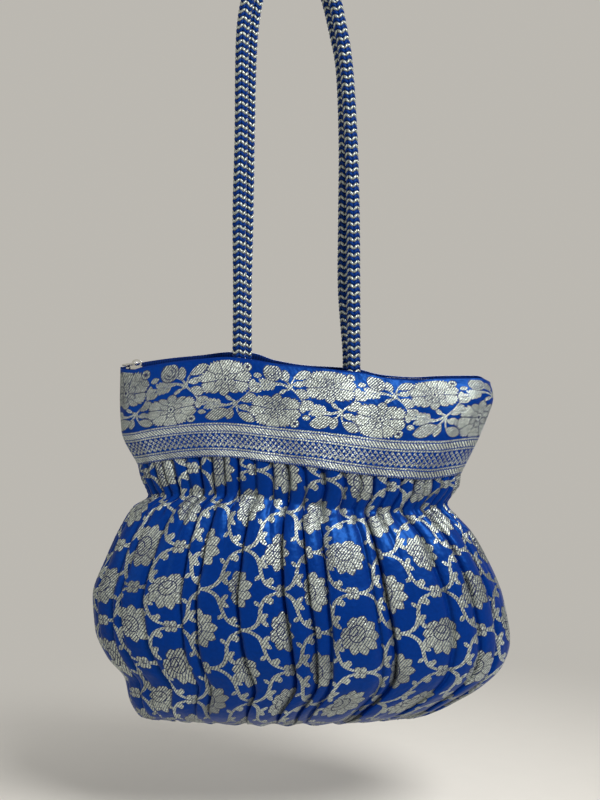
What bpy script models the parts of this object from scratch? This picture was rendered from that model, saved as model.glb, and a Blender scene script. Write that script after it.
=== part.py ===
"""A gathered brocade handbag, hung by its two braided handles.

A stiff yoke of woven border cloth carries a gathered pouch below it. A zip closes the top, and a
hidden elastic draws the pouch in under the yoke. The origin is the underside of the handles where
they pass over a hook. +X is to the bag's right as seen from the front, the front faces -Y, +Z is up.
"""

import math

import bmesh
import bpy
import numpy as np
from mathutils import Matrix, Vector

MM = 0.001

# Clearance that sewn or stacked pieces keep from each other
SEAM_GAP = 0.3
# What the leaning edges of yoke and pouch take up between them
SEAM_SLACK = 0.4
# How much of its thickness a panel's inner side may lean over its seam
WALL_LEAN = 0.45

# Cloth thicknesses
YOKE_WALL = 2.0
BODY_WALL = 1.2
LINING_WALL = 0.8
TAPE_WALL = 0.6
ELASTIC_WALL = 1.0

# Outline of the yoke, seen from the front: (x, z) from the hook, top to bottom
YOKE_LEFT = ((-153.5, -370.8), (-153.9, -397.0), (-152.0, -424.0), (-137.7, -452.7))
YOKE_RIGHT = ((179.1, -384.3), (181.8, -397.8), (170.1, -430.2), (153.0, -464.4))
# Half depth of the bag at the same levels
YOKE_DEPTH = (21.5, 28.5, 34.5, 37.5)
# Rise of the yoke's top edge over the straight line between its corners, at shares of its width
TOP_EDGE_RISE = (
    (0.0, 0.0),
    (0.06, 6.6),
    (0.19, 11.1),
    (0.32, 17.4),
    (0.40, 12.6),
    (0.46, 8.1),
    (0.54, 7.3),
    (0.63, 7.1),
    (0.70, 1.8),
    (0.77, 0.9),
    (0.88, 3.0),
    (0.95, 5.1),
    (1.0, 0.0),
)
# The back panel is pulled a little higher between the corners
BACK_RISE = 4.0
# The seam between yoke and pouch waves up on the left and down on the right
SEAM_WAVE = 7.2

# Outline of the gathered pouch below the yoke: (x, z), top to bottom, then its half depths
BODY_LEFT = (
    (-137.7, -452.7),
    (-133.7, -468.9),
    (-127.8, -486.0),
    (-140.9, -495.9),
    (-152.1, -513.0),
    (-165.2, -542.7),
    (-176.0, -575.1),
    (-174.2, -603.9),
    (-162.9, -630.0),
    (-148.1, -648.9),
    (-145.4, -666.9),
    (-139.5, -679.5),
    (-135.0, -684.9),
    (-127.0, -687.0),
)
BODY_RIGHT = (
    (153.0, -464.4),
    (150.3, -476.1),
    (139.9, -493.2),
    (148.5, -504.0),
    (161.1, -517.5),
    (175.9, -542.7),
    (189.9, -576.9),
    (195.7, -612.9),
    (189.9, -636.3),
    (171.9, -654.3),
    (150.3, -667.8),
    (134.1, -677.7),
    (123.3, -683.1),
    (111.6, -686.0),
)
BODY_DEPTH = (37.5, 36.0, 34.0, 39.0, 45.0, 52.0, 56.0, 57.0, 54.0, 48.0, 40.0, 28.0, 14.0, 0.0)
# How far down the pouch the seam's wave is still felt
WAVE_FADE = 0.35
# How far the bottom seam sags between the corners
BOTTOM_SAG = 6.5
# Share of the pouch's height at which the elastic draws it in
WAIST_AT = 2.0 / (len(BODY_DEPTH) - 1)

# How full the bag's cross section is: 1 is an ellipse, less is boxier
SECTION_POWER = 0.85

# The gathers
FOLD_COUNT = 30
FOLD_DEPTH_TOP = 4.2
FOLD_DEPTH_BELLY = 1.4
DEEP_FOLDS = (5, 7, 9, 11, 12, 14, 15, 17, 19, 22, 25)
DEEP_FOLD_EXTRA = 2.4

# The inner bag and the elastic
ELASTIC_WIDTH = 10.0
# Rows of the yoke at which the lining's rim and its next row lie
LINING_RIM_ROWS = (2, 4)
# Rows of the pouch's outline that the lining follows down to its foot, and its lift over each
LINING_ROWS = (
    (0, 0.0),
    (2, ELASTIC_WIDTH / 2 + 1.0),
    (2, -ELASTIC_WIDTH / 2 - 1.0),
    (5, 0.0),
    (7, 0.0),
    (9, 0.0),
    (10.5, 0.0),
    (11.6, 0.0),
)
LINING_CLEARANCE = 0.9

# The zip runs straight, a little down to the right
ZIP_LEFT = (-148.0, -372.7)
ZIP_RIGHT = (168.0, -385.1)
ZIP_SLOT = 0.6
TAPE_CLEARANCE = 0.7
COIL_WIDTH = 2.2
COIL_HEIGHT = 1.8
STOP_LENGTH = 3.0

SLIDER_FROM_END = 3.6
SLIDER_LENGTH = 11.0
SLIDER_WIDTH = 8.6
PLATE_WALL = 1.2
FLANGE_WALL = 1.1
POST_LENGTH = 2.4
CROWN_RADIUS = 3.5
CROWN_HOLE = 2.3
CROWN_STRETCH = 1.3
CROWN_WIDTH = 2.2
CROWN_RISE = 2.4

PULL_LENGTH = 13.0
PULL_WIDTH = 6.6
PULL_WIRE = 1.5
PULL_CORNER = 2.4
PULL_DROP_DEG = 10.0

# The two braided handles: (x, z) of the front and back cord's centreline, from its left end to its
# right end. The first and last point of each route lie where the cord reaches the top edge.
CORD_DIAMETER = 12.4
CORD_TUCK = 9.0
# A level above the whole top edge
TOP_MOST = -340.0
FRONT_ROUTE = (
    (-45.9, -352.0),
    (-45.6, -298.8),
    (-46.1, -233.0),
    (-44.4, -167.4),
    (-43.9, -102.6),
    (-42.4, -66.0),
    (-37.2, -36.9),
    (-28.6, -11.0),
    (-15.0, 2.4),
    (0.0, 6.5),
    (15.0, 2.4),
    (28.6, -11.0),
    (37.3, -36.9),
    (44.2, -68.0),
    (49.5, -102.6),
    (53.6, -167.4),
    (55.4, -233.0),
    (55.8, -298.8),
    (55.8, -360.0),
)
BACK_ROUTE = (
    (-41.7, -348.0),
    (-41.6, -298.8),
    (-40.0, -233.0),
    (-38.9, -167.4),
    (-37.5, -102.6),
    (-35.4, -66.0),
    (-31.0, -36.9),
    (-23.6, -11.5),
    (-12.6, 2.4),
    (0.0, 6.5),
    (13.0, 2.4),
    (24.6, -11.5),
    (33.0, -36.9),
    (40.4, -68.0),
    (46.5, -102.6),
    (49.0, -167.4),
    (48.6, -233.0),
    (48.4, -298.8),
    (52.6, -356.0),
)
# How far each cord lies from the bag's middle plane at the hook
CORD_APART = 6.7
CORD_STEP = 14.0

# Faces across and down each bent sheet
PANEL_FACES = 20
YOKE_ROWS = 5
TAPE_FACES = 20
CORD_RESOLUTION = 2
ROUND_SIDES = 20

BLUE = (0.012, 0.055, 0.42, 1.0)
NAVY = (0.008, 0.015, 0.12, 1.0)
ZARI = (0.52, 0.52, 0.47, 1.0)
NICKEL = (0.66, 0.65, 0.60, 1.0)
WHITE = (0.75, 0.76, 0.78, 1.0)

bag = None
cutters = None


def smooth_curve(knots, values):
    """A function through the given values that never overshoots them (monotone cubic)."""
    x, y = np.asarray(knots, float), np.asarray(values, float)
    step = np.diff(x)
    slope = np.diff(y) / step
    tangent = np.zeros(len(x))
    tangent[0], tangent[-1] = slope[0], slope[-1]
    for i in range(1, len(x) - 1):
        if slope[i - 1] * slope[i] > 0:
            weight_a = 2 * step[i] + step[i - 1]
            weight_b = step[i] + 2 * step[i - 1]
            tangent[i] = (weight_a + weight_b) / (weight_a / slope[i - 1] + weight_b / slope[i])

    def value(at):
        i = int(np.clip(np.searchsorted(x, at) - 1, 0, len(x) - 2))
        t = (at - x[i]) / step[i]
        return (
            (1 + 2 * t) * (1 - t) ** 2 * y[i]
            + t * (1 - t) ** 2 * step[i] * tangent[i]
            + t * t * (3 - 2 * t) * y[i + 1]
            + t * t * (t - 1) * step[i] * tangent[i + 1]
        )

    return value


def outline(points):
    """The x and z functions of a side line, over 0 at its top to 1 at its foot."""
    shares = np.linspace(0.0, 1.0, len(points))
    return smooth_curve(shares, [p[0] for p in points]), smooth_curve(shares, [p[1] for p in points])


yoke_left_x, yoke_left_z = outline(YOKE_LEFT)
yoke_right_x, yoke_right_z = outline(YOKE_RIGHT)
yoke_depth = smooth_curve(np.linspace(0.0, 1.0, len(YOKE_DEPTH)), YOKE_DEPTH)
top_rise = smooth_curve([p[0] for p in TOP_EDGE_RISE], [p[1] for p in TOP_EDGE_RISE])
body_left_x, body_left_z = outline(BODY_LEFT)
body_right_x, body_right_z = outline(BODY_RIGHT)
body_depth = smooth_curve(np.linspace(0.0, 1.0, len(BODY_DEPTH)), BODY_DEPTH)


def section_point(left, right, depth, turn, inward=0.0):
    """A point of one level's cross section, in the plan, and its share of the width. Turn runs from
    -1 at the left seam to 1 at the right."""
    angle = turn * math.pi / 2
    half = max((right - left) / 2 - inward, 0.0)
    across = math.sin(angle)
    out = max(math.cos(angle), 0.0) ** SECTION_POWER * max(depth - inward, 0.0)
    return (left + right) / 2 + half * across, out, (1 + across) / 2


def yoke_point(turn, down, side, inward=0.0):
    """A point of the yoke's outer face, side -1 in front and 1 behind, down 0 at the top edge."""
    left, right = yoke_left_x(down), yoke_right_x(down)
    x, out, share = section_point(left, right, yoke_depth(down), turn, inward)
    straight = yoke_left_z(down) * (1 - share) + yoke_right_z(down) * share
    rise = top_rise(share)
    if side > 0:
        rise += BACK_RISE * math.sin(math.pi * share) ** 0.5
    wave = SEAM_WAVE * math.sin(2 * math.pi * share)
    z = straight + rise * (1 - down) + wave * down
    return Vector((x, side * out, z))


def fold_depth(fold, down):
    """How deep one gather is at a share of the pouch's height: deep at the yoke and waist, softer at
    the belly, and gone at the bottom and side seams."""
    if fold in (0, FOLD_COUNT - 1):
        return 0.0
    top = FOLD_DEPTH_TOP * math.exp(-((max(down - WAIST_AT, 0.0) / 0.14) ** 1.5))
    belly = FOLD_DEPTH_BELLY + (DEEP_FOLD_EXTRA if fold in DEEP_FOLDS else 0.0)
    return max(top, belly * min(1.0, down / WAIST_AT)) * min(1.0, (1 - down) / 0.15)


def body_point(turn, down, side, inward=0.0):
    """A point of the pouch's outer face, before it is gathered."""
    left, right = body_left_x(down), body_right_x(down)
    x, out, share = section_point(left, right, body_depth(down), turn, inward)
    straight = body_left_z(down) * (1 - share) + body_right_z(down) * share
    wave = SEAM_WAVE * math.sin(2 * math.pi * share) * math.exp(-((down / WAVE_FADE) ** 2))
    sag = BOTTOM_SAG * math.sin(math.pi * share) * down**6
    return Vector((x, side * out, straight + wave - sag))


def gathered_point(across, down, side):
    """A point of the gathered pouch, across 0 to 1. Even columns are crests and odd ones valleys."""
    column = round(across * 2 * FOLD_COUNT)
    turn = 2 * across - 1
    point = body_point(turn, down, side)
    if column % 2 == 1:
        depth = fold_depth(column // 2, down)
        inner = body_point(turn, down, side, inward=depth)
        point = Vector((inner.x, inner.y, point.z))
    return point


def zip_level(x):
    """Height of the zip's line at x."""
    share = (x - ZIP_LEFT[0]) / (ZIP_RIGHT[0] - ZIP_LEFT[0])
    return ZIP_LEFT[1] + (ZIP_RIGHT[1] - ZIP_LEFT[1]) * share


def yoke_share_at(x, z, side):
    """The turn and down at which the yoke's outer face passes x and z, found by halving."""
    turn, down = 0.0, 0.0
    for _ in range(12):
        low, high = -1.0, 1.0
        for _ in range(30):
            turn = (low + high) / 2
            if yoke_point(turn, down, side).x < x:
                low = turn
            else:
                high = turn
        low, high = 0.0, 1.0
        for _ in range(30):
            down = (low + high) / 2
            if yoke_point(turn, down, side).z > z:
                low = down
            else:
                high = down
    return turn, down


def yoke_inside(x, z, side):
    """Distance of the yoke's inner face from the bag's middle plane, at x and z."""
    turn, down = yoke_share_at(x, z, side)
    return abs(yoke_point(turn, down, side).y) - YOKE_WALL


def material(name, colour, roughness, metallic=0.0):
    made = bpy.data.materials.get(name) or bpy.data.materials.new(name)
    made.use_nodes = True
    shader = made.node_tree.nodes["Principled BSDF"]
    shader.inputs["Base Color"].default_value = colour
    shader.inputs["Roughness"].default_value = roughness
    shader.inputs["Metallic"].default_value = metallic
    return made


def put_in(obj, collection):
    for old in obj.users_collection:
        old.objects.unlink(obj)
    collection.objects.link(obj)


def finish(obj, name, mat, smooth_angle=40.0):
    """Names an object, gives it its material and smooth shading, and puts it in the bag."""
    obj.name = name
    obj.data.name = name
    obj.data.materials.clear()
    obj.data.materials.append(mat)
    if obj.type == "MESH":
        obj.data.shade_smooth()
        obj.data.set_sharp_from_angle(angle=math.radians(smooth_angle))
    put_in(obj, bag)
    return obj


def as_cutter(obj):
    obj.hide_render = True
    obj.display_type = "WIRE"
    put_in(obj, cutters)
    return obj


def bent_sheet(across, down, place, wall, closed=False, up=False):
    """A grid of faces bent so that each point lies where place(across, down) says, and given a wall
    on its inner side, or on its lower side if up is set. A closed sheet is joined to itself."""
    bpy.ops.mesh.primitive_grid_add(x_subdivisions=across, y_subdivisions=down, size=1.0)
    obj = bpy.context.object
    for vertex in obj.data.vertices:
        point = place(vertex.co.x + 0.5, 0.5 - vertex.co.y)
        vertex.co = point * MM
    work = bmesh.new()
    work.from_mesh(obj.data)
    if closed:
        bmesh.ops.remove_doubles(work, verts=work.verts, dist=0.00002)
    bmesh.ops.recalc_face_normals(work, faces=work.faces)
    centre = sum((v.co for v in work.verts), Vector()) / len(work.verts)
    if up:
        centre.z -= 1.0
    out = sum(
        (f.calc_center_median() - centre).dot(f.normal) * f.calc_area() for f in work.faces
    )
    if out < 0:
        bmesh.ops.reverse_faces(work, faces=work.faces)
    work.to_mesh(obj.data)
    work.free()
    shell = obj.modifiers.new("wall", "SOLIDIFY")
    shell.thickness = wall * MM
    shell.offset = -1.0
    return obj


def boolean(obj, other, operation):
    step = obj.modifiers.new(operation.lower(), "BOOLEAN")
    step.operation = operation
    step.solver = "EXACT"
    step.object = as_cutter(other)


def box(size, centre):
    """A block of the given size and centre, in mm."""
    bpy.ops.mesh.primitive_cube_add(size=1.0)
    obj = bpy.context.object
    for vertex in obj.data.vertices:
        vertex.co = Vector(c * s for c, s in zip(vertex.co, size)) * MM
        vertex.co += Vector(centre) * MM
    return obj


def clear_of_seam(point, side, wall):
    """Keeps a panel's edge far enough from the middle plane for its inner side to stay clear too."""
    point.y = side * max(abs(point.y), SEAM_GAP / 2 + wall * WALL_LEAN)
    return point


def make_yoke(name, side, mat):
    def place(across, down):
        return clear_of_seam(yoke_point(2 * across - 1, down, side), side, YOKE_WALL)

    return finish(bent_sheet(PANEL_FACES, YOKE_ROWS, place, YOKE_WALL), name, mat, 60.0)


def make_body(name, side, mat):
    rows = len(BODY_DEPTH) - 1

    def place(across, down):
        point = clear_of_seam(gathered_point(across, down, side), side, BODY_WALL)
        point.z -= SEAM_GAP + SEAM_SLACK
        return point

    return finish(bent_sheet(2 * FOLD_COUNT, rows, place, BODY_WALL), name, mat, 60.0)


def fold_room(down):
    """How far inside the pouch's outer face its own cloth reaches."""
    deepest = max(fold_depth(fold, down) for fold in range(FOLD_COUNT))
    return deepest + BODY_WALL + SEAM_GAP


def around(across):
    """Side and turn of a point of a closed ring, across 0 to 1 from the left seam round the front."""
    if across <= 0.5:
        return -1, 4 * across - 1
    return 1, 3 - 4 * across


def make_elastic(mat):
    def place(across, down):
        side, turn = around(across)
        inward = fold_room(WAIST_AT)
        point = body_point(turn, WAIST_AT, side, inward)
        point.z += ELASTIC_WIDTH * (0.5 - down)
        if abs(turn) == 1:
            point.y = 0.0
        return point

    ring = bent_sheet(2 * PANEL_FACES, 1, place, ELASTIC_WALL, closed=True)
    return finish(ring, "waist_elastic", mat, 60.0)


def lining_point(across, down):
    """A point of the inner bag: its rim lies against the yoke, its foot near the bottom seam."""
    side, turn = around(across)
    row = round(down * (len(LINING_ROWS) + 1))
    if row < 2:
        level = LINING_RIM_ROWS[row] / YOKE_ROWS
        inward = YOKE_WALL + LINING_CLEARANCE
        inward += (lining_room(0.0) - inward) * row / 2
        point = yoke_point(turn, level, side, inward)
    else:
        body_row, lift = LINING_ROWS[row - 2]
        share = body_row / (len(BODY_DEPTH) - 1)
        point = body_point(turn, share, side, lining_room(share))
        point.z += lift
    if abs(turn) == 1 or down > 0.999:
        point.y = 0.0
    return point


def lining_room(down):
    return fold_room(WAIST_AT) + ELASTIC_WALL + LINING_CLEARANCE


def make_lining(mat):
    rows = len(LINING_ROWS) + 1
    sheet = bent_sheet(2 * PANEL_FACES, rows, lining_point, LINING_WALL, closed=True)
    return finish(sheet, "lining", mat, 60.0)


def zip_frame():
    """The zip's own frame: origin at its left end, X along it, Z out of the bag."""
    start = Vector((ZIP_LEFT[0], 0.0, ZIP_LEFT[1]))
    along = Vector((ZIP_RIGHT[0], 0.0, ZIP_RIGHT[1])) - start
    length = along.length
    tilt = math.atan2(along.z, along.x)
    return Matrix.Translation(start * MM) @ Matrix.Rotation(-tilt, 4, "Y"), length


def make_zip(tape_mat, coil_mat, metal):
    frame, length = zip_frame()
    tape_top = -SEAM_GAP
    for name, side in (("front", -1), ("back", 1)):

        def tape(across, down, side=side):
            along = Vector((across * length * MM, 0.0, tape_top * MM))
            at = frame @ along / MM
            reach = yoke_inside(at.x, at.z, side) - TAPE_CLEARANCE
            at.y = side * (ZIP_SLOT + (reach - ZIP_SLOT) * down)
            return at

        sheet = bent_sheet(TAPE_FACES, 1, tape, TAPE_WALL, up=True)
        route = FRONT_ROUTE if side < 0 else BACK_ROUTE
        for x, _ in (route[0], route[-1]):
            boolean(sheet, cord_hole(x, side), "DIFFERENCE")
        finish(sheet, f"zip_tape_{name}", tape_mat)

        coil = box(
            (length - 2 * STOP_LENGTH - 2 * SEAM_GAP, COIL_WIDTH, COIL_HEIGHT),
            (length / 2, side * (ZIP_SLOT + COIL_WIDTH / 2), COIL_HEIGHT / 2),
        )
        coil.matrix_world = frame
        finish(coil, f"zip_coil_{name}", coil_mat)
    for name, at in (("left", STOP_LENGTH / 2), ("right", length - STOP_LENGTH / 2)):
        width = 2 * (ZIP_SLOT + COIL_WIDTH)
        stop = box((STOP_LENGTH, width, COIL_HEIGHT), (at, 0.0, COIL_HEIGHT / 2))
        stop.matrix_world = frame
        edges = stop.modifiers.new("edges", "BEVEL")
        edges.width = 0.3 * MM
        edges.segments = 1
        finish(stop, f"zip_stop_{name}", metal)


def cord_end_depth(x, side):
    """Distance of a handle's end from the middle plane: close inside the narrowest of the yoke."""
    levels = np.linspace(zip_level(x) - CORD_TUCK, TOP_MOST, 5)
    narrowest = min(yoke_inside(x, level, side) for level in levels)
    return narrowest - SEAM_GAP - CORD_DIAMETER / 2


def cord_hole(x, side):
    """A cutter that lets a handle's end pass between tape and yoke."""
    z = zip_level(x)
    radius = CORD_DIAMETER / 2 + SEAM_GAP
    middle = cord_end_depth(x, side)
    bpy.ops.mesh.primitive_cylinder_add(vertices=ROUND_SIDES, radius=radius * MM, depth=12 * MM)
    cutter = bpy.context.object
    for vertex in cutter.data.vertices:
        vertex.co += Vector((x, side * middle, z)) * MM
    return cutter


def make_slider(metal):
    """The slider: two plates with flanges, joined by a post in the zip's slot, and a crown on top."""
    frame, _ = zip_frame()
    top = COIL_HEIGHT + SEAM_GAP
    under = -(SEAM_GAP + TAPE_WALL + SEAM_GAP)
    flange_high = top
    side_at = SLIDER_WIDTH / 2 - FLANGE_WALL / 2
    body = box((SLIDER_LENGTH, SLIDER_WIDTH, PLATE_WALL), (0.0, 0.0, top + PLATE_WALL / 2))
    pieces = [
        box((SLIDER_LENGTH, SLIDER_WIDTH, PLATE_WALL), (0.0, 0.0, under - PLATE_WALL / 2)),
        box(
            (POST_LENGTH, ZIP_SLOT * 2 - 2 * SEAM_GAP, top - under + PLATE_WALL),
            (SLIDER_LENGTH / 2 - POST_LENGTH, 0.0, (top + under) / 2),
        ),
    ]
    for side in (-1, 1):
        pieces.append(
            box(
                (SLIDER_LENGTH * 0.9, FLANGE_WALL, flange_high + PLATE_WALL / 2),
                (0.0, side * side_at, (flange_high + PLATE_WALL / 2) / 2),
            )
        )
    pieces.append(crown(top + PLATE_WALL))
    for piece in pieces:
        boolean(body, piece, "UNION")
    edges = body.modifiers.new("edges", "BEVEL")
    edges.width = 0.2 * MM
    edges.segments = 1
    edges.limit_method = "ANGLE"
    edges.angle_limit = math.radians(50)
    return place_slider(body, frame, "zip_slider", metal)


def crown(plate_top):
    """The ring on the slider that holds the pull, standing in the plate."""
    centre = Vector((0.0, 0.0, plate_top + CROWN_RISE)) * MM
    rings = []
    for radius, width in ((CROWN_RADIUS, CROWN_WIDTH), (CROWN_HOLE, CROWN_WIDTH * 2)):
        bpy.ops.mesh.primitive_cylinder_add(
            vertices=ROUND_SIDES, radius=radius * MM, depth=width * MM
        )
        ring = bpy.context.object
        turn = Matrix.Rotation(math.pi / 2, 4, "X")
        stretch = Matrix.Diagonal((CROWN_STRETCH, 1.0, 1.0, 1.0))
        ring.data.transform(Matrix.Translation(centre) @ stretch @ turn)
        rings.append(ring)
    boolean(rings[0], rings[1], "DIFFERENCE")
    graph = bpy.context.evaluated_depsgraph_get()
    mesh = bpy.data.meshes.new_from_object(rings[0].evaluated_get(graph))
    made = bpy.data.objects.new("crown", mesh)
    bpy.context.scene.collection.objects.link(made)
    bpy.data.objects.remove(rings[0])
    return made


def slider_place(frame):
    return frame @ Matrix.Translation(Vector((SLIDER_FROM_END + SLIDER_LENGTH / 2, 0.0, 0.0)) * MM)


def place_slider(body, frame, name, metal):
    for step in body.modifiers:
        if step.type == "BOOLEAN":
            step.object.matrix_world = slider_place(frame)
    body.matrix_world = slider_place(frame)
    return finish(body, name, metal, 30.0)


def pull_outline():
    """Points of the pull's wire, a long ring with rounded corners, from its cross bar outwards."""
    half = PULL_WIDTH / 2 - PULL_CORNER
    points = []
    for cx, cy, start in (
        (PULL_CORNER, half, 90),
        (PULL_CORNER, -half, 180),
        (PULL_LENGTH - PULL_WIDTH / 2, 0.0, 270),
    ):
        radius = PULL_CORNER if start != 270 else PULL_WIDTH / 2
        sweep = 90 if start != 270 else 180
        steps = 4 if start != 270 else 8
        for i in range(steps + 1):
            angle = math.radians(start + sweep * i / steps)
            points.append((cx + radius * math.cos(angle), cy + radius * math.sin(angle)))
    return points


def make_pull(metal):
    """The ring pull. Its empty stands on the hinge axis, in the middle of the crown's hole."""
    frame, _ = zip_frame()
    pivot_height = COIL_HEIGHT + SEAM_GAP + PLATE_WALL + CROWN_RISE
    hinge = bpy.data.objects.new("pull_hinge", None)
    hinge.matrix_world = slider_place(frame) @ Matrix.Translation(Vector((0, 0, pivot_height)) * MM)
    bag.objects.link(hinge)
    data = bpy.data.curves.new("zip_pull", "CURVE")
    data.dimensions = "3D"
    points = pull_outline()
    spline = data.splines.new("POLY")
    spline.points.add(len(points) - 1)
    for target, (out, y) in zip(spline.points, points):
        target.co = (-out * MM, y * MM, 0.0, 1.0)
    spline.use_cyclic_u = True
    data.bevel_depth = PULL_WIRE / 2 * MM
    data.bevel_resolution = 2
    pull = bpy.data.objects.new("zip_pull", data)
    bag.objects.link(pull)
    pull.parent = hinge
    pull.rotation_euler = (0.0, -math.radians(PULL_DROP_DEG), 0.0)
    pull.data.materials.append(metal)
    return pull


def cord_points(route, side):
    """Evenly spaced points of a handle's centreline, in mm, from a smooth curve through its route.
    Both ends run down behind the yoke, past the zip's tape, close to the yoke's inner face."""
    depths = [cord_end_depth(x, side) for x, _ in (route[0], route[-1])]
    ends = []
    for (x, _), depth in zip((route[0], route[-1]), depths):
        foot = zip_level(x) - CORD_TUCK
        ends.append([(x, side * depth, foot), (x, side * depth, foot + CORD_TUCK)])
    middle = []
    for x, z in route:
        depth = depths[0] if x < 0 else depths[1]
        share = min(1.0, max(0.0, z / route[0][1]))
        middle.append((x, side * (CORD_APART + (depth - CORD_APART) * share**2), z))
    rough = np.array(ends[0] + middle + ends[1][::-1])
    return resample(rough, CORD_STEP)


def resample(rough, step):
    """Points about step apart on a Catmull-Rom curve through rough."""
    padded = np.vstack([2 * rough[0] - rough[1], rough, 2 * rough[-1] - rough[-2]])
    dense = []
    for a, b, c, d in zip(padded, padded[1:], padded[2:], padded[3:]):
        for t in np.linspace(0, 1, 12, endpoint=False):
            dense.append(
                0.5
                * (2 * b + (c - a) * t + (2 * a - 5 * b + 4 * c - d) * t**2
                   + (3 * b - 3 * c + d - a) * t**3)
            )
    dense = np.array(dense + [rough[-1]])
    along = np.concatenate([[0], np.cumsum(np.linalg.norm(np.diff(dense, axis=0), axis=1))])
    count = max(2, round(along[-1] / step))
    at = np.linspace(0, along[-1], count + 1)
    return np.stack([np.interp(at, along, dense[:, k]) for k in range(3)], axis=1)


def make_handle(name, route, side, mat):
    points = cord_points(route, side)
    data = bpy.data.curves.new(name, "CURVE")
    data.dimensions = "3D"
    spline = data.splines.new("POLY")
    spline.points.add(len(points) - 1)
    for target, point in zip(spline.points, points):
        target.co = (*(Vector(point) * MM), 1.0)
    data.bevel_depth = CORD_DIAMETER / 2 * MM
    data.bevel_resolution = CORD_RESOLUTION
    data.use_fill_caps = True
    handle = bpy.data.objects.new(name, data)
    handle.data.materials.append(mat)
    bag.objects.link(handle)
    return handle


def clear_scene():
    for obj in list(bpy.data.objects):
        bpy.data.objects.remove(obj)


def main():
    global bag, cutters
    clear_scene()
    bag = bpy.data.collections.new("Gathered brocade bag")
    cutters = bpy.data.collections.new("Cutters")
    for collection in (bag, cutters):
        bpy.context.scene.collection.children.link(collection)
    brocade = material("border brocade", ZARI, 0.45, 0.4)
    satin = material("pouch brocade", BLUE, 0.4)
    inner = material("lining cloth", NAVY, 0.8)
    tape = material("zip tape", NAVY, 0.75)
    coil = material("zip coil", NAVY, 0.4)
    metal = material("nickel", NICKEL, 0.25, 1.0)
    braid = material("braid", BLUE, 0.6)
    stretch = material("elastic", WHITE, 0.8)
    for name, side in (("front", -1), ("back", 1)):
        make_yoke(f"yoke_{name}", side, brocade)
        make_body(f"body_{name}", side, satin)
    make_elastic(stretch)
    make_lining(inner)
    make_zip(tape, coil, metal)
    make_slider(metal)
    make_pull(metal)
    make_handle("handle_front", FRONT_ROUTE, -1, braid)
    make_handle("handle_back", BACK_ROUTE, 1, braid)


main()
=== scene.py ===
"""Dresses the gathered brocade handbag: woven pouch and border, braided handles, zip and stage.

Lengths are in millimetres until they go into a mesh, unless a comment says metres. +X is to the right
of the bag as the camera sees it, and its front faces -Y.
"""

import math

import bpy
import numpy as np
from bpy.props import FloatProperty, FloatVectorProperty, PointerProperty
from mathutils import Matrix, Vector
from mathutils.geometry import delaunay_2d_cdt


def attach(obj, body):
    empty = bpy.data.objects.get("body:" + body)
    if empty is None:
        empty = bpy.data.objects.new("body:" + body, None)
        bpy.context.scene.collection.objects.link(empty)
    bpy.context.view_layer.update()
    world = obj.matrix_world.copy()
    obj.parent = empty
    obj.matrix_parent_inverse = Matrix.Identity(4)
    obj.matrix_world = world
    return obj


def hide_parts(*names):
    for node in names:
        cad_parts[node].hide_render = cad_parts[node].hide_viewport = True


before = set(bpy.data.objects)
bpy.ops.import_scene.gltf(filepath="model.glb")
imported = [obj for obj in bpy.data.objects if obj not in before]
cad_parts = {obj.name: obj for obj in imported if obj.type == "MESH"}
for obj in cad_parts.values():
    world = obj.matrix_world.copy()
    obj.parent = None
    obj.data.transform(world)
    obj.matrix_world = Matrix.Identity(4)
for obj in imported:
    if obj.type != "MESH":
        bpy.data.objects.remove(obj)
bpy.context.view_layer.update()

bl_info = {
    "name": "Gathered brocade handbag",
    "version": (1, 0, 0),
    "blender": (4, 5, 0),
    "location": "View3D > Sidebar > Handbag",
    "description": "Makes the cloth, handles, zip and stage of a gathered brocade handbag",
    "category": "Object",
}

MM = 0.001
BAG = "bag"

# Outlines of the yoke seen from the front, (x, z) from top to bottom, and its half depths there
YOKE_LEFT = ((-153.5, -370.8), (-153.9, -397.0), (-152.0, -424.0), (-137.7, -452.7))
YOKE_RIGHT = ((179.1, -384.3), (181.8, -397.8), (170.1, -430.2), (153.0, -464.4))
YOKE_DEPTH = (21.5, 28.5, 34.5, 37.5)
YOKE_RIPPLE = 1.4
YOKE_FINE_RIPPLE = 0.45
# At shares of the bag's width: the rise of the top edges over the straight line between their corners,
# and how far the seam under the yoke hangs below its plain wave
TOP_EDGE_FRONT = (
    (0.0, -1.5), (0.035, -2.2), (0.065, 0.5), (0.127, 4.9), (0.213, 9.3), (0.30, 12.3),
    (0.35, 11.3), (0.42, 8.3), (0.51, 6.3), (0.60, 4.5), (0.65, 3.4), (0.693, 0.8), (0.73, -0.7),
    (0.79, -1.2), (0.865, 1.5), (0.97, 2.9), (1.0, 0.0),
)
TOP_EDGE_BACK = (
    (0.0, 0.0), (0.048, 4.8), (0.127, 10.2), (0.213, 14.4), (0.30, 18.6), (0.35, 18.6),
    (0.42, 12.6), (0.51, 9.1), (0.60, 8.6), (0.65, 7.4), (0.693, 4.2), (0.73, 2.8), (0.79, 2.2),
    (0.865, 4.1), (0.97, 5.6), (1.0, 0.0),
)
SEAM_DROP = (
    (0.0, 5.9), (0.125, 3.5), (0.247, 1.6), (0.368, 1.0), (0.449, 0.0), (0.571, -2.3),
    (0.693, -1.9), (0.814, 0.3), (0.895, 2.6), (1.0, 1.9),
)
# The seam's plain wave, and the shares of the pouch's height over which wave and drop die away
SEAM_WAVE = 7.2
WAVE_FADE = 0.35
SEAM_DROP_FADE = 0.09
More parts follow.
